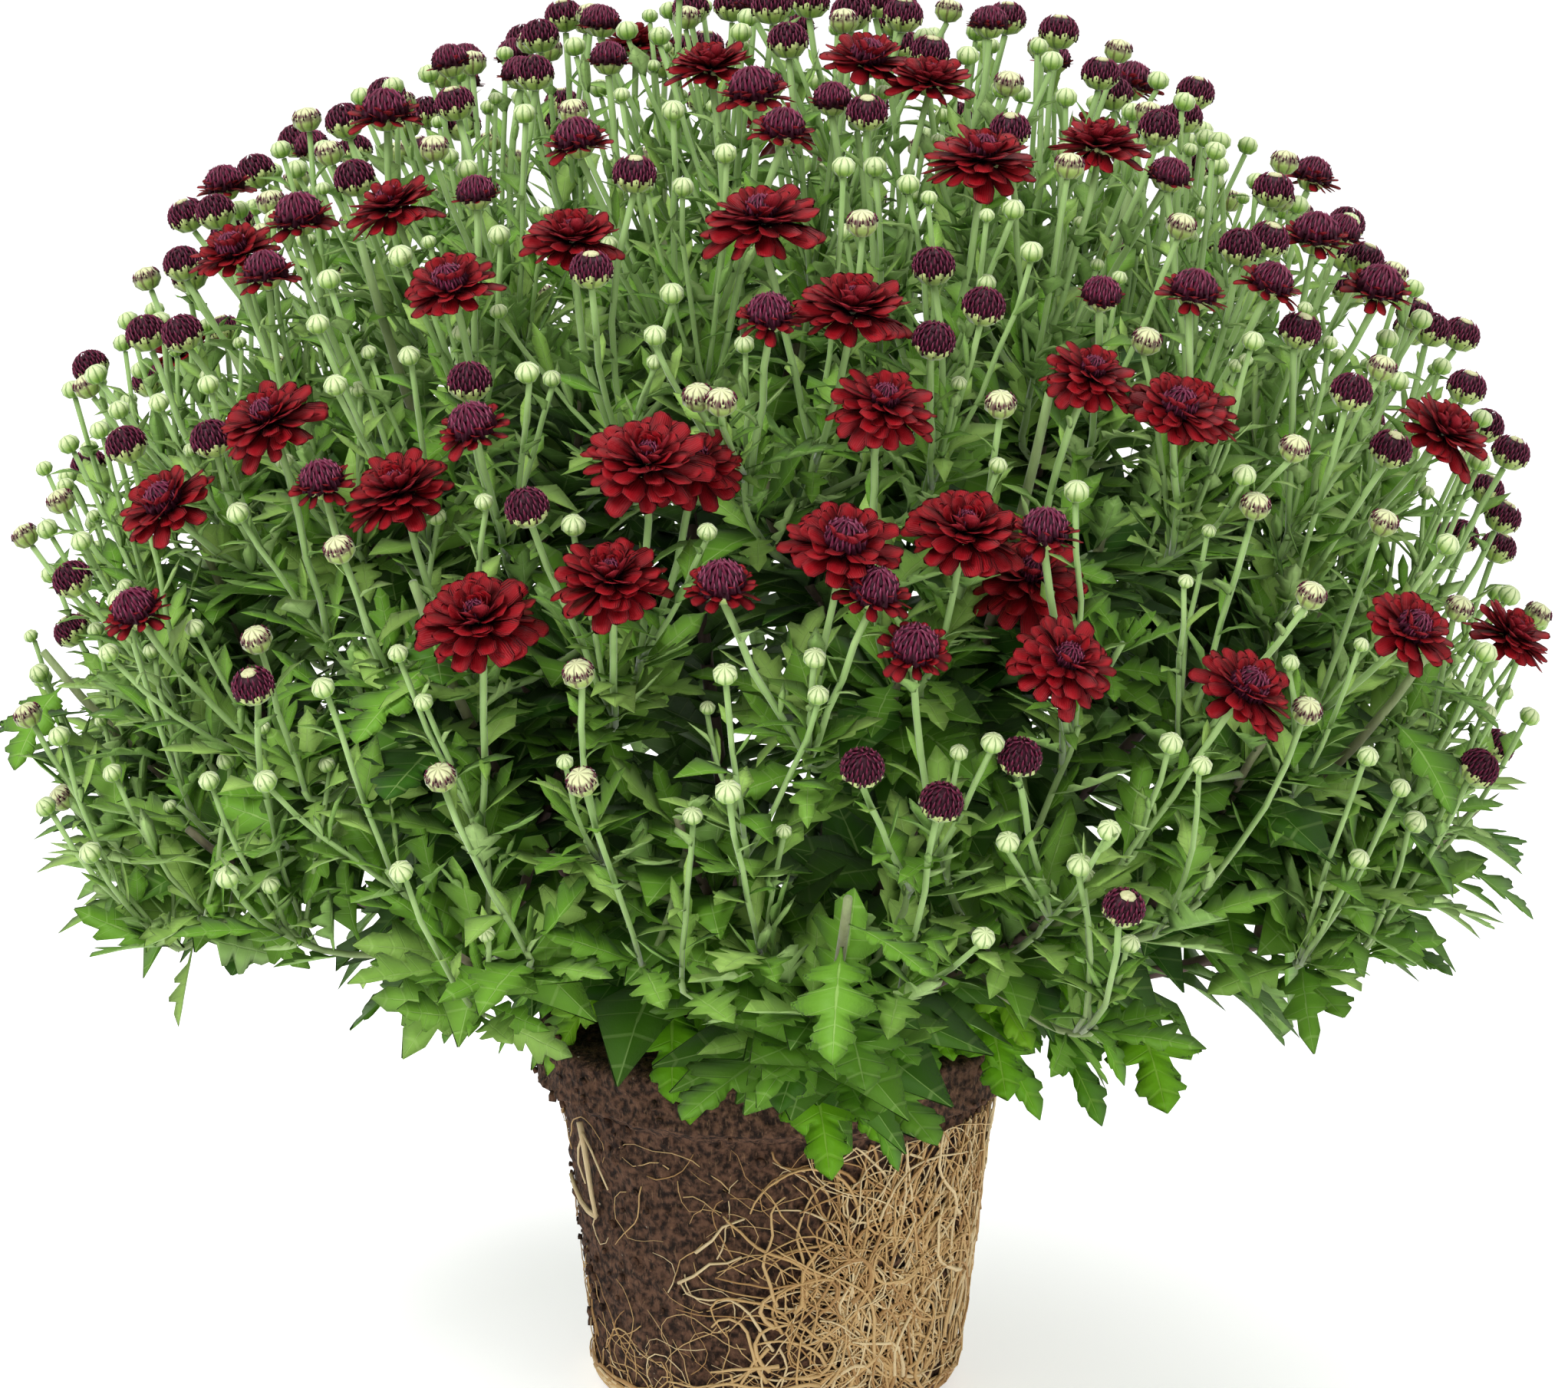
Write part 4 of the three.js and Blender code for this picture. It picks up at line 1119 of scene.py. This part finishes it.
stalks = []
for each in heads:
    foot = each["neck"] - each["lean"] * STALK_REACH
    twig = nearest(twigs, foot, lambda place: place.end)
    share = 0.99 - 0.3 * draw(each["number"], 53)
    start = twig.at(share)
    length = (each["neck"] - start).length
    bend = each["neck"] - each["lean"] * (0.5 * length)
    bend = bend.lerp(start + twig.along(share) * (0.5 * length), 0.4)
    stalks.append((Course(start, bend, each["neck"]), each))
print("stems:", len(limbs), "limbs,", len(twigs), "twigs,", len(stalks), "stalks")

# %% The stems' meshes
SOIL_DEPTH = 22 * MM
BOUGH_STEPS = 12
BOUGH_END = 0.9
BOUGH_FOOT = 3.4
BOUGH_THICK = 3.3
BOUGH_THINS = 1.7
FIRST_TWIG = 300
FIRST_STALK = 700
THINNEST_STALK = 0.7
THICKEST_STALK = 1.35
THICKER_PER_METRE = 72


def grow_stem(thing, course, steps, thick, thin, number, shake):
    points = [course.at(k / steps) for k in range(steps + 1)]
    for k in range(1, steps):
        points[k].x += spread(number * 7 + k, 54, shake)
        points[k].y += spread(number * 7 + k, 55, shake)
    rod(thing, points, [thick + (thin - thick) * k / steps for k in range(steps + 1)])


def finish_stems(thing, roundness, skin):
    piece = solid_rods(thing, roundness, 0.5)
    piece.data.materials.append(skin)
    pieces[piece.name] = piece
    print(piece.name + ":", triangles(piece), "triangles")


woody = rods("boughs")
for i, course in enumerate(boughs):
    shares = [k / BOUGH_STEPS for k in range(BOUGH_STEPS + 1)]
    points = [course.at(BOUGH_END * share) for share in shares]
    foot = points[0] - UP * SOIL_DEPTH
    rod(woody, [foot] + points, [BOUGH_FOOT] + [BOUGH_THICK - BOUGH_THINS * share for share in shares])
for i, course in enumerate(limbs):
    grow_stem(woody, course, 9, 2.1, 1.5, i, 1.5 * MM)
finish_stems(woody, 2, bough_skin)

slender = rods("stalks")
for i, course in enumerate(twigs):
    grow_stem(slender, course, 7, 1.5, 1.15, i + FIRST_TWIG, 1 * MM)
for i, (course, each) in enumerate(stalks):
    thick = min(THICKEST_STALK, THINNEST_STALK + THICKER_PER_METRE * each["radius"])
    grow_stem(slender, course, 5, thick * 0.9, thick, i + FIRST_STALK, 0.7 * MM)
finish_stems(slender, 1, stalk_skin)

# %% [markdown]
# ## Leaves
#
# A chrysanthemum leaf has a slim stalk, two pairs of side lobes and a broad end lobe, all with
# blunt teeth. It starts as a flat grid whose rows are pulled out to the outline. The inner points
# of a row are pulled back towards the stalk, so the rows run out into the lobes as the veins do.
# Then the leaf is folded along its rib and bent down. Solidify gives it a back, and a vertex
# group keeps the rim sharp.

# %% The outlines
# Share of the length and half width as a share of the length, from the stalk to the tip.
LARGE_OUTLINE = [
    (0.0, 0.014), (0.12, 0.014), (0.22, 0.03), (0.28, 0.075), (0.325, 0.15), (0.37, 0.205),
    (0.4, 0.2), (0.435, 0.255), (0.47, 0.245), (0.475, 0.19), (0.455, 0.12), (0.465, 0.085),
    (0.51, 0.12), (0.565, 0.205), (0.615, 0.28), (0.645, 0.275), (0.675, 0.325), (0.715, 0.315),
    (0.72, 0.255), (0.745, 0.235), (0.73, 0.17), (0.705, 0.1), (0.755, 0.115), (0.8, 0.155),
    (0.83, 0.145), (0.865, 0.175), (0.895, 0.155), (0.895, 0.105), (0.94, 0.105), (0.965, 0.07),
    (1.0, 0.008),
]
MEDIUM_OUTLINE = [
    (0.0, 0.016), (0.25, 0.03), (0.45, 0.17), (0.5, 0.155), (0.49, 0.075),
    (0.68, 0.2), (0.73, 0.185), (0.72, 0.09), (0.86, 0.095), (1.0, 0.008),
]
BROAD_OUTLINE = [(0.0, 0.03), (0.28, 0.14), (0.52, 0.28), (0.66, 0.2), (1.0, 0.01)]
NARROW_OUTLINE = [(0.0, 0.03), (0.35, 0.1), (0.7, 0.11), (1.0, 0.008)]
FLESH = 0.012
ROW_SWEEP = 0.55
RIPPLES = 26


def blade(name, outline, flesh, skins, bend):
    """A sheet of length 1 along X: a grid pulled out to an outline, bent, and given a back."""
    last = len(outline) - 1
    bpy.ops.mesh.primitive_grid_add(x_subdivisions=last, y_subdivisions=2, size=2)
    made = bpy.context.object
    made.name = name
    inside = made.vertex_groups.new(name="flesh")
    for vertex in made.data.vertices:
        row = round((vertex.co.x + 1) / 2 * last)
        across = vertex.co.y
        vertex.co = bend(*outline[row], across)
        edge = abs(across) > 0.99 or row in (0, last)
        inside.add([vertex.index], 0.0 if edge else 1.0, "REPLACE")
    for skin in skins:
        made.data.materials.append(skin)
    modify(
        made, "SOLIDIFY", thickness=flesh, offset=-1, vertex_group="flesh",
        thickness_vertex_group=0.0, use_rim=False, material_offset=1
    )
    close_seams(made)
    bpy.ops.object.shade_smooth()
    note(made, "tone", lambda co: 0.5)
    return made


def leaf_set(name, outline, skins, *forms):
    """Leaves of one outline. A form is a fold along the rib, a droop and perhaps a wave of the rim."""
    made = []
    for fold, droop, *more in forms:
        wave = more[0] if more else 0

        def bend(along, half, across):
            x = max(0, along - ROW_SWEEP * half * (1 - abs(across)))
            y = across * half
            ripple = wave * math.sin(RIPPLES * along + (2 if across > 0 else 0)) * abs(across)
            return x, y, fold * abs(y) + ripple - droop * x ** 2

        made.append(blade(name + "_" + str(len(made)), outline, FLESH, skins, bend))
    print(name, "leaves have", triangles(made[0]), "triangles")
    return made


large_leaves = leaf_set(
    "large", LARGE_OUTLINE, skirt_skins, (0.25, 0.55, 0.012), (0.12, 0.4, 0.02), (0.4, 0.25, 0.015)
)
high_leaves = leaf_set("high", LARGE_OUTLINE, upper_skins, (0.25, 0.45), (0.15, 0.2))
medium_leaves = leaf_set(
    "medium", MEDIUM_OUTLINE, upper_skins, (0.35, 0.35), (0.2, 0.15), (0.5, 0.05), (0.25, -0.15)
)
broad_leaves = leaf_set("broad", BROAD_OUTLINE, upper_skins, (0.3, 0.4), (0.15, 0.1))
narrow_leaves = leaf_set("narrow", NARROW_OUTLINE, upper_skins, (0.5, 0.3), (0.4, -0.2))

# %% [markdown]
# Leaves stand in a spiral on their stem. Each one leaves it at an open angle and turns its face
# towards the stem's tip, and the light. High stems carry many leaves and give them darker tones,
# which are painted shade for the heart of the dome. Low stems carry fewer, larger ones in paler
# tones, which are painted light, because the plant is airy there.

# %% Leaves on stems
LIGHT_PULL = 0.2
OPEN_HEIGHT = 0.17
CLOSING_HEIGHT = 0.16
FIRST_ON_STALKS = 900
FIRST_UNDER_HEADS = 1900


def leaf_on(course, share, spin, open_angle):
    """Root, heading and face of a leaf on a stem."""
    along = course.along(share)
    side = along.orthogonal().normalized()
    side.rotate(Matrix.Rotation(spin, 3, along))
    heading = along * math.cos(open_angle) + side * math.sin(open_angle)
    heading.z += LIGHT_PULL if heading.z > 0 else LIGHT_PULL - 0.5 * heading.z
    return course.at(share), heading, along + UP


def leaves_along(course, number, count, shares, lengths, angles, models, tones):
    places = []
    first, last = shares
    for k in range(count):
        item = number * 23 + k
        share = first + (last - first) * (k + draw(item, 61)) / count
        spin = k * GOLDEN_ANGLE + any_turn(number, 62)
        spot, heading, face = leaf_on(course, share, spin, math.radians(between(item, 63, *angles)))
        matrix = laid(spot, heading, face, between(item, 64, *lengths) * MM, between(item, 67, 0.8, 1.3))
        model = models[int(draw(item, 65) * len(models))]
        places.append((model, matrix, between(item, 66, *tones)))
    return places


def dress(courses, number, shares, angles, models, high, low):
    """Leaves for many stems. high and low have the count, both lengths and both tones of a stem; the
    dark tones of high stems are painted shade.
    """
    places = []
    for i, course in enumerate(courses):
        lowness = 1 - clamp((course.end.z - OPEN_HEIGHT) / CLOSING_HEIGHT)
        # The tone range is darker on high stems, as painted shade inside the dome, and paler on low
        # ones.
        count, short, long, dark, pale = [a + (b - a) * lowness for a, b in zip(high, low)]
        places += leaves_along(
            course, i + number, round(count), shares, (short, long), angles, models, (dark, pale)
        )
    return places


# Inner leaves on high stems get the darkest tones: painted shade for the heart of the dome.
stamp("inner_leaves", dress(
    boughs, 0, (0.1, 0.7), (45, 85), broad_leaves, (54, 38, 56, 0, 0.25), (8, 38, 56, 0.5, 0.85)
) + dress(
    limbs, 100, (0.1, 0.8), (40, 80), broad_leaves, (34, 34, 48, 0, 0.4), (3, 34, 48, 0.5, 0.9)
))
stamp("foliage", dress(
    limbs, 200, (0.35, 1), (40, 75), medium_leaves, (12, 32, 44, 0.25, 0.9), (8, 44, 60, 0.5, 0.9)
) + dress(
    twigs, 300, (0.3, 1), (30, 75), medium_leaves, (10, 24, 40, 0.4, 1), (4, 28, 50, 0.4, 1)
))
small_leaves = broad_leaves + narrow_leaves
on_stalks = []
for i, (course, each) in enumerate(stalks):
    on_stalks += leaves_along(
        course, i + FIRST_ON_STALKS, 4, (0, 0.55), (11, 25), (35, 75), small_leaves, (0.4, 1)
    )
    on_stalks += leaves_along(
        course, i + FIRST_UNDER_HEADS, 2, (0.5, 0.88), (9, 17), (30, 65), small_leaves, (0.6, 1)
    )
stamp("stalk_leaves", on_stalks)

# %% [markdown]
# The large bright leaves hang in a skirt from the lowest boughs, and a wreath of them covers the
# crown and falls over the ball's edge, lowest in front. At the front left the rim stays bare. On
# the outer half of the boughs the large leaves are as dull as the rest of the foliage.

# %% The skirt
SKIRT_BELOW_RISE = math.radians(24)
BRIGHT_SHARE = 0.35
BARE_SHARE = 0.4
BARE_SIDE = Vector((-0.62, -0.78, 0))
BARE_SPREAD = math.radians(24)
WREATH = 72
FALL_TURN = math.radians(-80)

# Share of the bough, turn in degrees off its heading, and length in mm.
SKIRT_STATIONS = [
    (0.14, 34, 52), (0.15, -36, 54), (0.28, 72, 50), (0.3, -70, 52), (0.46, 48, 56), (0.5, -50, 54),
    (0.7, 8, 48), (0.22, 5, 50), (0.38, 20, 48), (0.6, -30, 46), (0.62, 40, 44), (0.8, -20, 40),
    (0.85, 45, 36),
]
low_boughs = [
    boughs[i] for i, (turn, rise) in enumerate(directions(BOUGHS, 0)) if rise < SKIRT_BELOW_RISE
]
skirt = []
stations = [(course, *station) for course in low_boughs for station in SKIRT_STATIONS]
for number, (course, share, turn, length) in enumerate(stations, 1):
    along = course.along(share)
    heading = Vector((along.x, along.y, 0)).normalized()
    heading.rotate(Matrix.Rotation(math.radians(turn + spread(number, 13, 12)), 3, "Z"))
    if share < BARE_SHARE and heading.angle(BARE_SIDE) < BARE_SPREAD:
        continue
    heading.z = -between(number, 71, 0.05, 0.4)
    size = length * between(number, 72, 0.95, 1.25) * MM
    model = (large_leaves if share < BRIGHT_SHARE else high_leaves)[int(draw(number, 73) * 2)]
    skirt.append((model, laid(course.at(share), heading, UP, size), 0.7 * draw(number, 74)))
for k in range(WREATH):
    turn = 2 * math.pi * (k + 0.6 * draw(k, 75)) / WREATH
    out = on_ring(turn)
    if out.angle(BARE_SIDE) < BARE_SPREAD:
        continue
    fall = max(0, math.cos(turn - FALL_TURN)) ** 4
    spot = out * (between(k, 76, 44, 84) * MM) + UP * ((between(k, 77, 178, 204) - 12 * fall) * MM)
    heading = out.copy()
    heading.rotate(Matrix.Rotation(spread(k, 78, 0.5), 3, "Z"))
    heading.z = -0.1 - (0.3 + 0.6 * fall) * draw(k, 79)
    place = laid(spot, heading, UP, between(k, 80, 46, 62) * MM)
    skirt.append((large_leaves[k % 3], place, between(k, 81, 0.3, 1)))
stamp("skirt_leaves", skirt)
put_away(*large_leaves, *high_leaves, *medium_leaves, *small_leaves)

# %% [markdown]
# ## Buds
#
# Every head is modelled with a radius of 1 and its neck at the origin, and scaled where it is
# placed. The green bud is a flattened ball with eight ribs, its sepals. On the cracking bud
# closed florets break through that ball in a ring. The maroon bud keeps only its lower half, a cup
# cut off by a bisect and closed, under a ball of closed florets.

# %% The bud bodies
BUD_CENTRE = 0.87
BUD_SIDES = 2 * SEPALS


def round_body(sides, rings, radius, height, squash, skin):
    bpy.ops.mesh.primitive_uv_sphere_add(
        segments=sides, ring_count=rings, radius=radius, location=(0, 0, height)
    )
    body = bpy.context.object
    body.scale = (1, 1, squash)
    settle(body)
    body.data.materials.append(skin)
    return body


def ribbed_ball(name, skin, rib_height):
    bud = round_body(BUD_SIDES, 5, 1, BUD_CENTRE, BUD_CENTRE, skin)
    bud.name = name

    def rib(co):
        side = round(math.atan2(co.y, co.x) / (2 * math.pi) * BUD_SIDES)
        swell = 1 + rib_height * (1 if side % 2 else -1)
        dip = 0.1 * max(0, co.z / BUD_CENTRE - 1.6)
        return Vector((co.x * swell, co.y * swell, co.z - dip))

    shape(bud, rib)
    bpy.ops.object.shade_smooth()
    note(bud, "tone", lambda co: 0.5)
    note(bud, "tip", lambda co: co.z / 2)
    return bud


def cut_cup(ball, height, jagged):
    """Cuts the top off a ribbed ball and closes it, and leaves sepal tips round its rim."""
    select_only(ball)
    bpy.ops.object.mode_set(mode="EDIT")
    bpy.ops.mesh.select_all(action="SELECT")
    bpy.ops.mesh.bisect(
        plane_co=(0, 0, height), plane_no=(0, 0, 1), use_fill=True, clear_outer=True
    )
    bpy.ops.object.mode_set(mode="OBJECT")

    def point_sepal(co):
        side = round(math.atan2(co.y, co.x) / (2 * math.pi) * BUD_SIDES)
        on_rim = abs(co.z - height) < 1e-4
        return co + UP * (jagged * (1 if side % 2 else -0.4)) if on_rim else co

    shape(ball, point_sepal)


# %% [markdown]
# A petal is a strap that is narrow where it grows, broad and blunt at the tip, and bent along its
# length. It is a sheet like a leaf, with a hollow instead of a fold. A closed floret is only the
# tip of one: a small cone, and many of them lie in a spiral over a dark ball.

# %% The straps
PETAL_OUTLINE = [(0.0, 0.05), (0.35, 0.12), (0.7, 0.172), (0.92, 0.15), (1.0, 0.075)]
PETAL_FLESH = 0.03


def petal(name, curl, hollow):
    """A positive curl turns the tip up, and hollow lifts the sides."""
    def bend(along, half, across):
        lift = hollow * abs(across) * math.sin(math.pi * min(1, along + 0.1))
        return along, across * half, curl * along * along + lift

    made = blade(name, PETAL_OUTLINE, PETAL_FLESH, petal_skins, bend)
    note(made, "tip", lambda co: co.x)
    return made


fallen = petal("fallen_petal", -0.14, 0.05)
level_petal = petal("level_petal", 0.03, 0.07)
curled = petal("curled_petal", 0.32, 0.1)

# %% Balls of closed florets
FLATTENED = 0.92
FLORET_TILT = 0.25
FLORET_WIDE = 0.42
FLORET_THICK = 0.55
CORE_SHARE = 0.93


# The ball under the florets takes their darkest colour, painted shade between them.
def dark_core(radius, centre):
    core = round_body(10, 6, radius, centre, FLATTENED, maroon_floret)
    for name in ("tone", "tip"):
        note(core, name, lambda co: 0.0)
    return core


def button(count, widest, radius, size, centre, narrowest=0):
    """Small closed florets in a spiral over a ball, between two angles off its top."""
    level = (0, math.pi / 2, 0)
    bpy.ops.mesh.primitive_cone_add(vertices=4, radius1=1, radius2=0, depth=2, rotation=level)
    bead = bpy.context.object
    settle(bead)
    bead.data.materials.append(maroon_floret)
    note(bead, "tone", lambda co: 0.0)
    note(bead, "tip", lambda co: 0.35 + 0.45 * co.x)
    parts = [dark_core(radius * CORE_SHARE, centre)]
    squash = Matrix.Diagonal((1, 1, FLORET_THICK, 1))
    for k in range(count):
        polar = math.radians(narrowest + (widest - narrowest) * math.sqrt((k + 0.5) / count))
        turn = k * GOLDEN_ANGLE
        out = on_ring(turn, math.sin(polar), math.cos(polar))
        inwards = (UP - out * out.z).normalized()
        heading = inwards * math.cos(FLORET_TILT) + out * math.sin(FLORET_TILT)
        spot = Vector((out.x, out.y, out.z * FLATTENED)) * radius + UP * centre
        matrix = laid(spot, heading, out, size, FLORET_WIDE) @ squash
        parts.append(copy_of(bead, matrix, between(k, 91, 0.2, 0.7)))
    put_away(bead)
    return parts


def finished(name, parts):
    whole = join(parts, name)
    bpy.ops.object.shade_smooth()
    print(name, "has", triangles(whole), "triangles")
    return whole


# %% The three buds
EYE_RADIUS = 0.4
EYE_HEIGHT = 1.62
EYE_SQUASH = 0.32
CUP_TOP = 0.86 * BUD_CENTRE


def cream_eye():
    """The pale eye on top of a bud, where its innermost florets are still closed."""
    eye = round_body(8, 4, EYE_RADIUS, EYE_HEIGHT, EYE_SQUASH, eye_skin)
    for name in ("tone", "tip"):
        note(eye, name, lambda co: 0.5)
    return eye


green_bud = ribbed_ball("green_bud", green_bud_skin, 0.035)
cracking_bud = finished("cracking_bud", [
    ribbed_ball("cracking_ball", cracking_bud_skin, 0.04),
    *button(26, 72, 0.96, 0.2, BUD_CENTRE, 46),
])
maroon_buds = []
for name, with_eye in (("eyed_bud", True), ("closed_bud", False)):
    cup = ribbed_ball(name + "_cup", calyx_skin, 0.05)
    cut_cup(cup, CUP_TOP, 0.15)
    parts = [cup, *button(70, 98, 0.92, 0.27, BUD_CENTRE, 22 if with_eye else 0)]
    maroon_buds.append(finished(name, parts + ([cream_eye()] if with_eye else [])))

# %% [markdown]
# ## Flowers
#
# Open flowers are tiers of petals round a button of closed florets: the outer tiers lie nearly
# level or fall back a little, and the inner ones stand up and curl in. No two petals of a tier
# are quite alike, so every petal is turned, tilted and stretched by its own draw.

# %% The flower models
TURN_SHAKE = 0.3
TILT_SHAKE = 13
REACH_SHAKE = 0.12
ROLL_SHAKE = 0.4


def petal_tier(model, count, length, wide, tilt, base, number, root_out):
    """One tier of petals round the axis. tilt is the angle over level, in degrees."""
    parts = []
    for k in range(count):
        item = number * 40 + k
        turn = 2 * math.pi * (k + 0.5 * (number % 2) + spread(item, 95, TURN_SHAKE)) / count
        rise = math.radians(tilt + spread(item, 96, TILT_SHAKE))
        reach = length * (0.94 + spread(item, 97, REACH_SHAKE))
        out = on_ring(turn)
        heading = out * math.cos(rise) + UP * math.sin(rise)
        face = UP * math.cos(rise) - out * math.sin(rise)
        roll = Matrix.Rotation(spread(item, 98, ROLL_SHAKE), 3, heading)
        matrix = laid(out * root_out + UP * base, heading, roll @ face, reach, wide / length)
        parts.append(copy_of(model, matrix, draw(item, 99)))
    return parts


def flower(name, tiers, eye_size, cup_size, cup_height, root_out=0.08):
    """A flower with its neck at the origin and a radius of 1."""
    cup = ribbed_ball(name + "_cup", calyx_skin, 0.06)
    cup.scale *= cup_size
    settle(cup)
    cut_cup(cup, cup_height, 0.05)
    parts = [cup]
    for number, tier in enumerate(tiers):
        parts += petal_tier(*tier, number + 10 * len(name), root_out)
    beads, radius, centre = eye_size
    parts += button(beads, 88, radius, 0.42 * radius + 0.03, centre)
    return finished(name, parts)


full_bloom = flower("full_bloom", [
    (fallen, 17, 0.98, 1.08, -2, 0.27), (level_petal, 17, 0.92, 1.08, 10, 0.3),
    (level_petal, 15, 0.8, 1.0, 22, 0.34), (level_petal, 13, 0.66, 0.95, 34, 0.38),
    (curled, 10, 0.5, 0.85, 42, 0.42), (curled, 8, 0.38, 0.8, 55, 0.46),
], (26, 0.16, 0.6), 0.34, 0.3)
wide_bloom = flower("wide_bloom", [
    (fallen, 16, 0.98, 1.08, -10, 0.27), (level_petal, 16, 0.93, 1.08, 2, 0.3),
    (level_petal, 14, 0.82, 1.0, 13, 0.34), (level_petal, 12, 0.66, 0.95, 25, 0.38),
    (curled, 10, 0.5, 0.85, 36, 0.42),
], (40, 0.24, 0.54), 0.34, 0.3)
young_bloom = flower("young_bloom", [
    (fallen, 14, 0.98, 1.08, 0, 0.28), (level_petal, 14, 0.9, 1.08, 11, 0.31),
    (level_petal, 12, 0.76, 1.0, 26, 0.35), (curled, 12, 0.58, 0.85, 34, 0.4),
], (46, 0.34, 0.5), 0.34, 0.3)
opening_flower = flower("opening_flower", [
    (fallen, 12, 0.7, 0.92, 2, 0.3), (level_petal, 12, 0.64, 0.86, 18, 0.36),
    (level_petal, 9, 0.5, 0.72, 38, 0.42),
], (54, 0.5, 0.54), 0.42, 0.36, 0.28)
half_open_bud = flower("half_open_bud", [
    (fallen, 9, 0.56, 0.7, 22, 0.42), (level_petal, 7, 0.5, 0.62, 46, 0.46),
], (60, 0.62, 0.66), 0.6, 0.46, 0.44)
put_away(fallen, level_petal, curled)

# %% [markdown]
# ## Every head in its place
#
# Each kind of head is one piece: the model is copied to each place and turned about its stalk by
# a draw. A bud keeps more room than it fills, so green and cracking buds are a little smaller than
# the room around them.

# %% The heads
SLIMMED = {"green": 0.8, "cracking": 0.9}
HEAD_PIECES = {
    "bloom": ("blooms", (full_bloom, wide_bloom, young_bloom)),
    "opening": ("opening_flowers", (opening_flower,)),
    "half_open": ("half_open_buds", (half_open_bud,)),
    "maroon": ("maroon_buds", maroon_buds),
    "cracking": ("cracking_buds", (cracking_bud,)),
    "green": ("green_buds", (green_bud,)),
}


def head_place(each, models):
    number = each["number"]
    radius = each["radius"] * SLIMMED.get(each["kind"], 1)
    model = models[int(draw(number, 102) * len(models))]
    return model, upright(each["neck"], each["lean"], radius, any_turn(number, 101))


for kind, (name, models) in HEAD_PIECES.items():
    stamp(name, [head_place(each, models) for each in heads if each["kind"] == kind])
    put_away(*models)

# %% [markdown]
# ## What each piece stands for
#
# The fine pieces replace the coarse nodes: peat and roots their own, stems, leaves and buds the
# sprays, and petals the open flowers. Nothing moves on its own, so all ride on the one body.

# %% Riding and replaced nodes
spray_nodes = [name for name in frame["nodes"] if name.startswith("spray_")]
for name, piece in pieces.items():
    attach(piece, "root")
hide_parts("root_ball")
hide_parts("root_mat")
for name in ("boughs", "stalks", "inner_leaves", "foliage", "stalk_leaves", "skirt_leaves"):
    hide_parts(*spray_nodes)
for name in ("green_buds", "cracking_buds", "maroon_buds", "half_open_buds", "opening_flowers"):
    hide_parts(*spray_nodes)
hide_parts(*bloom_nodes)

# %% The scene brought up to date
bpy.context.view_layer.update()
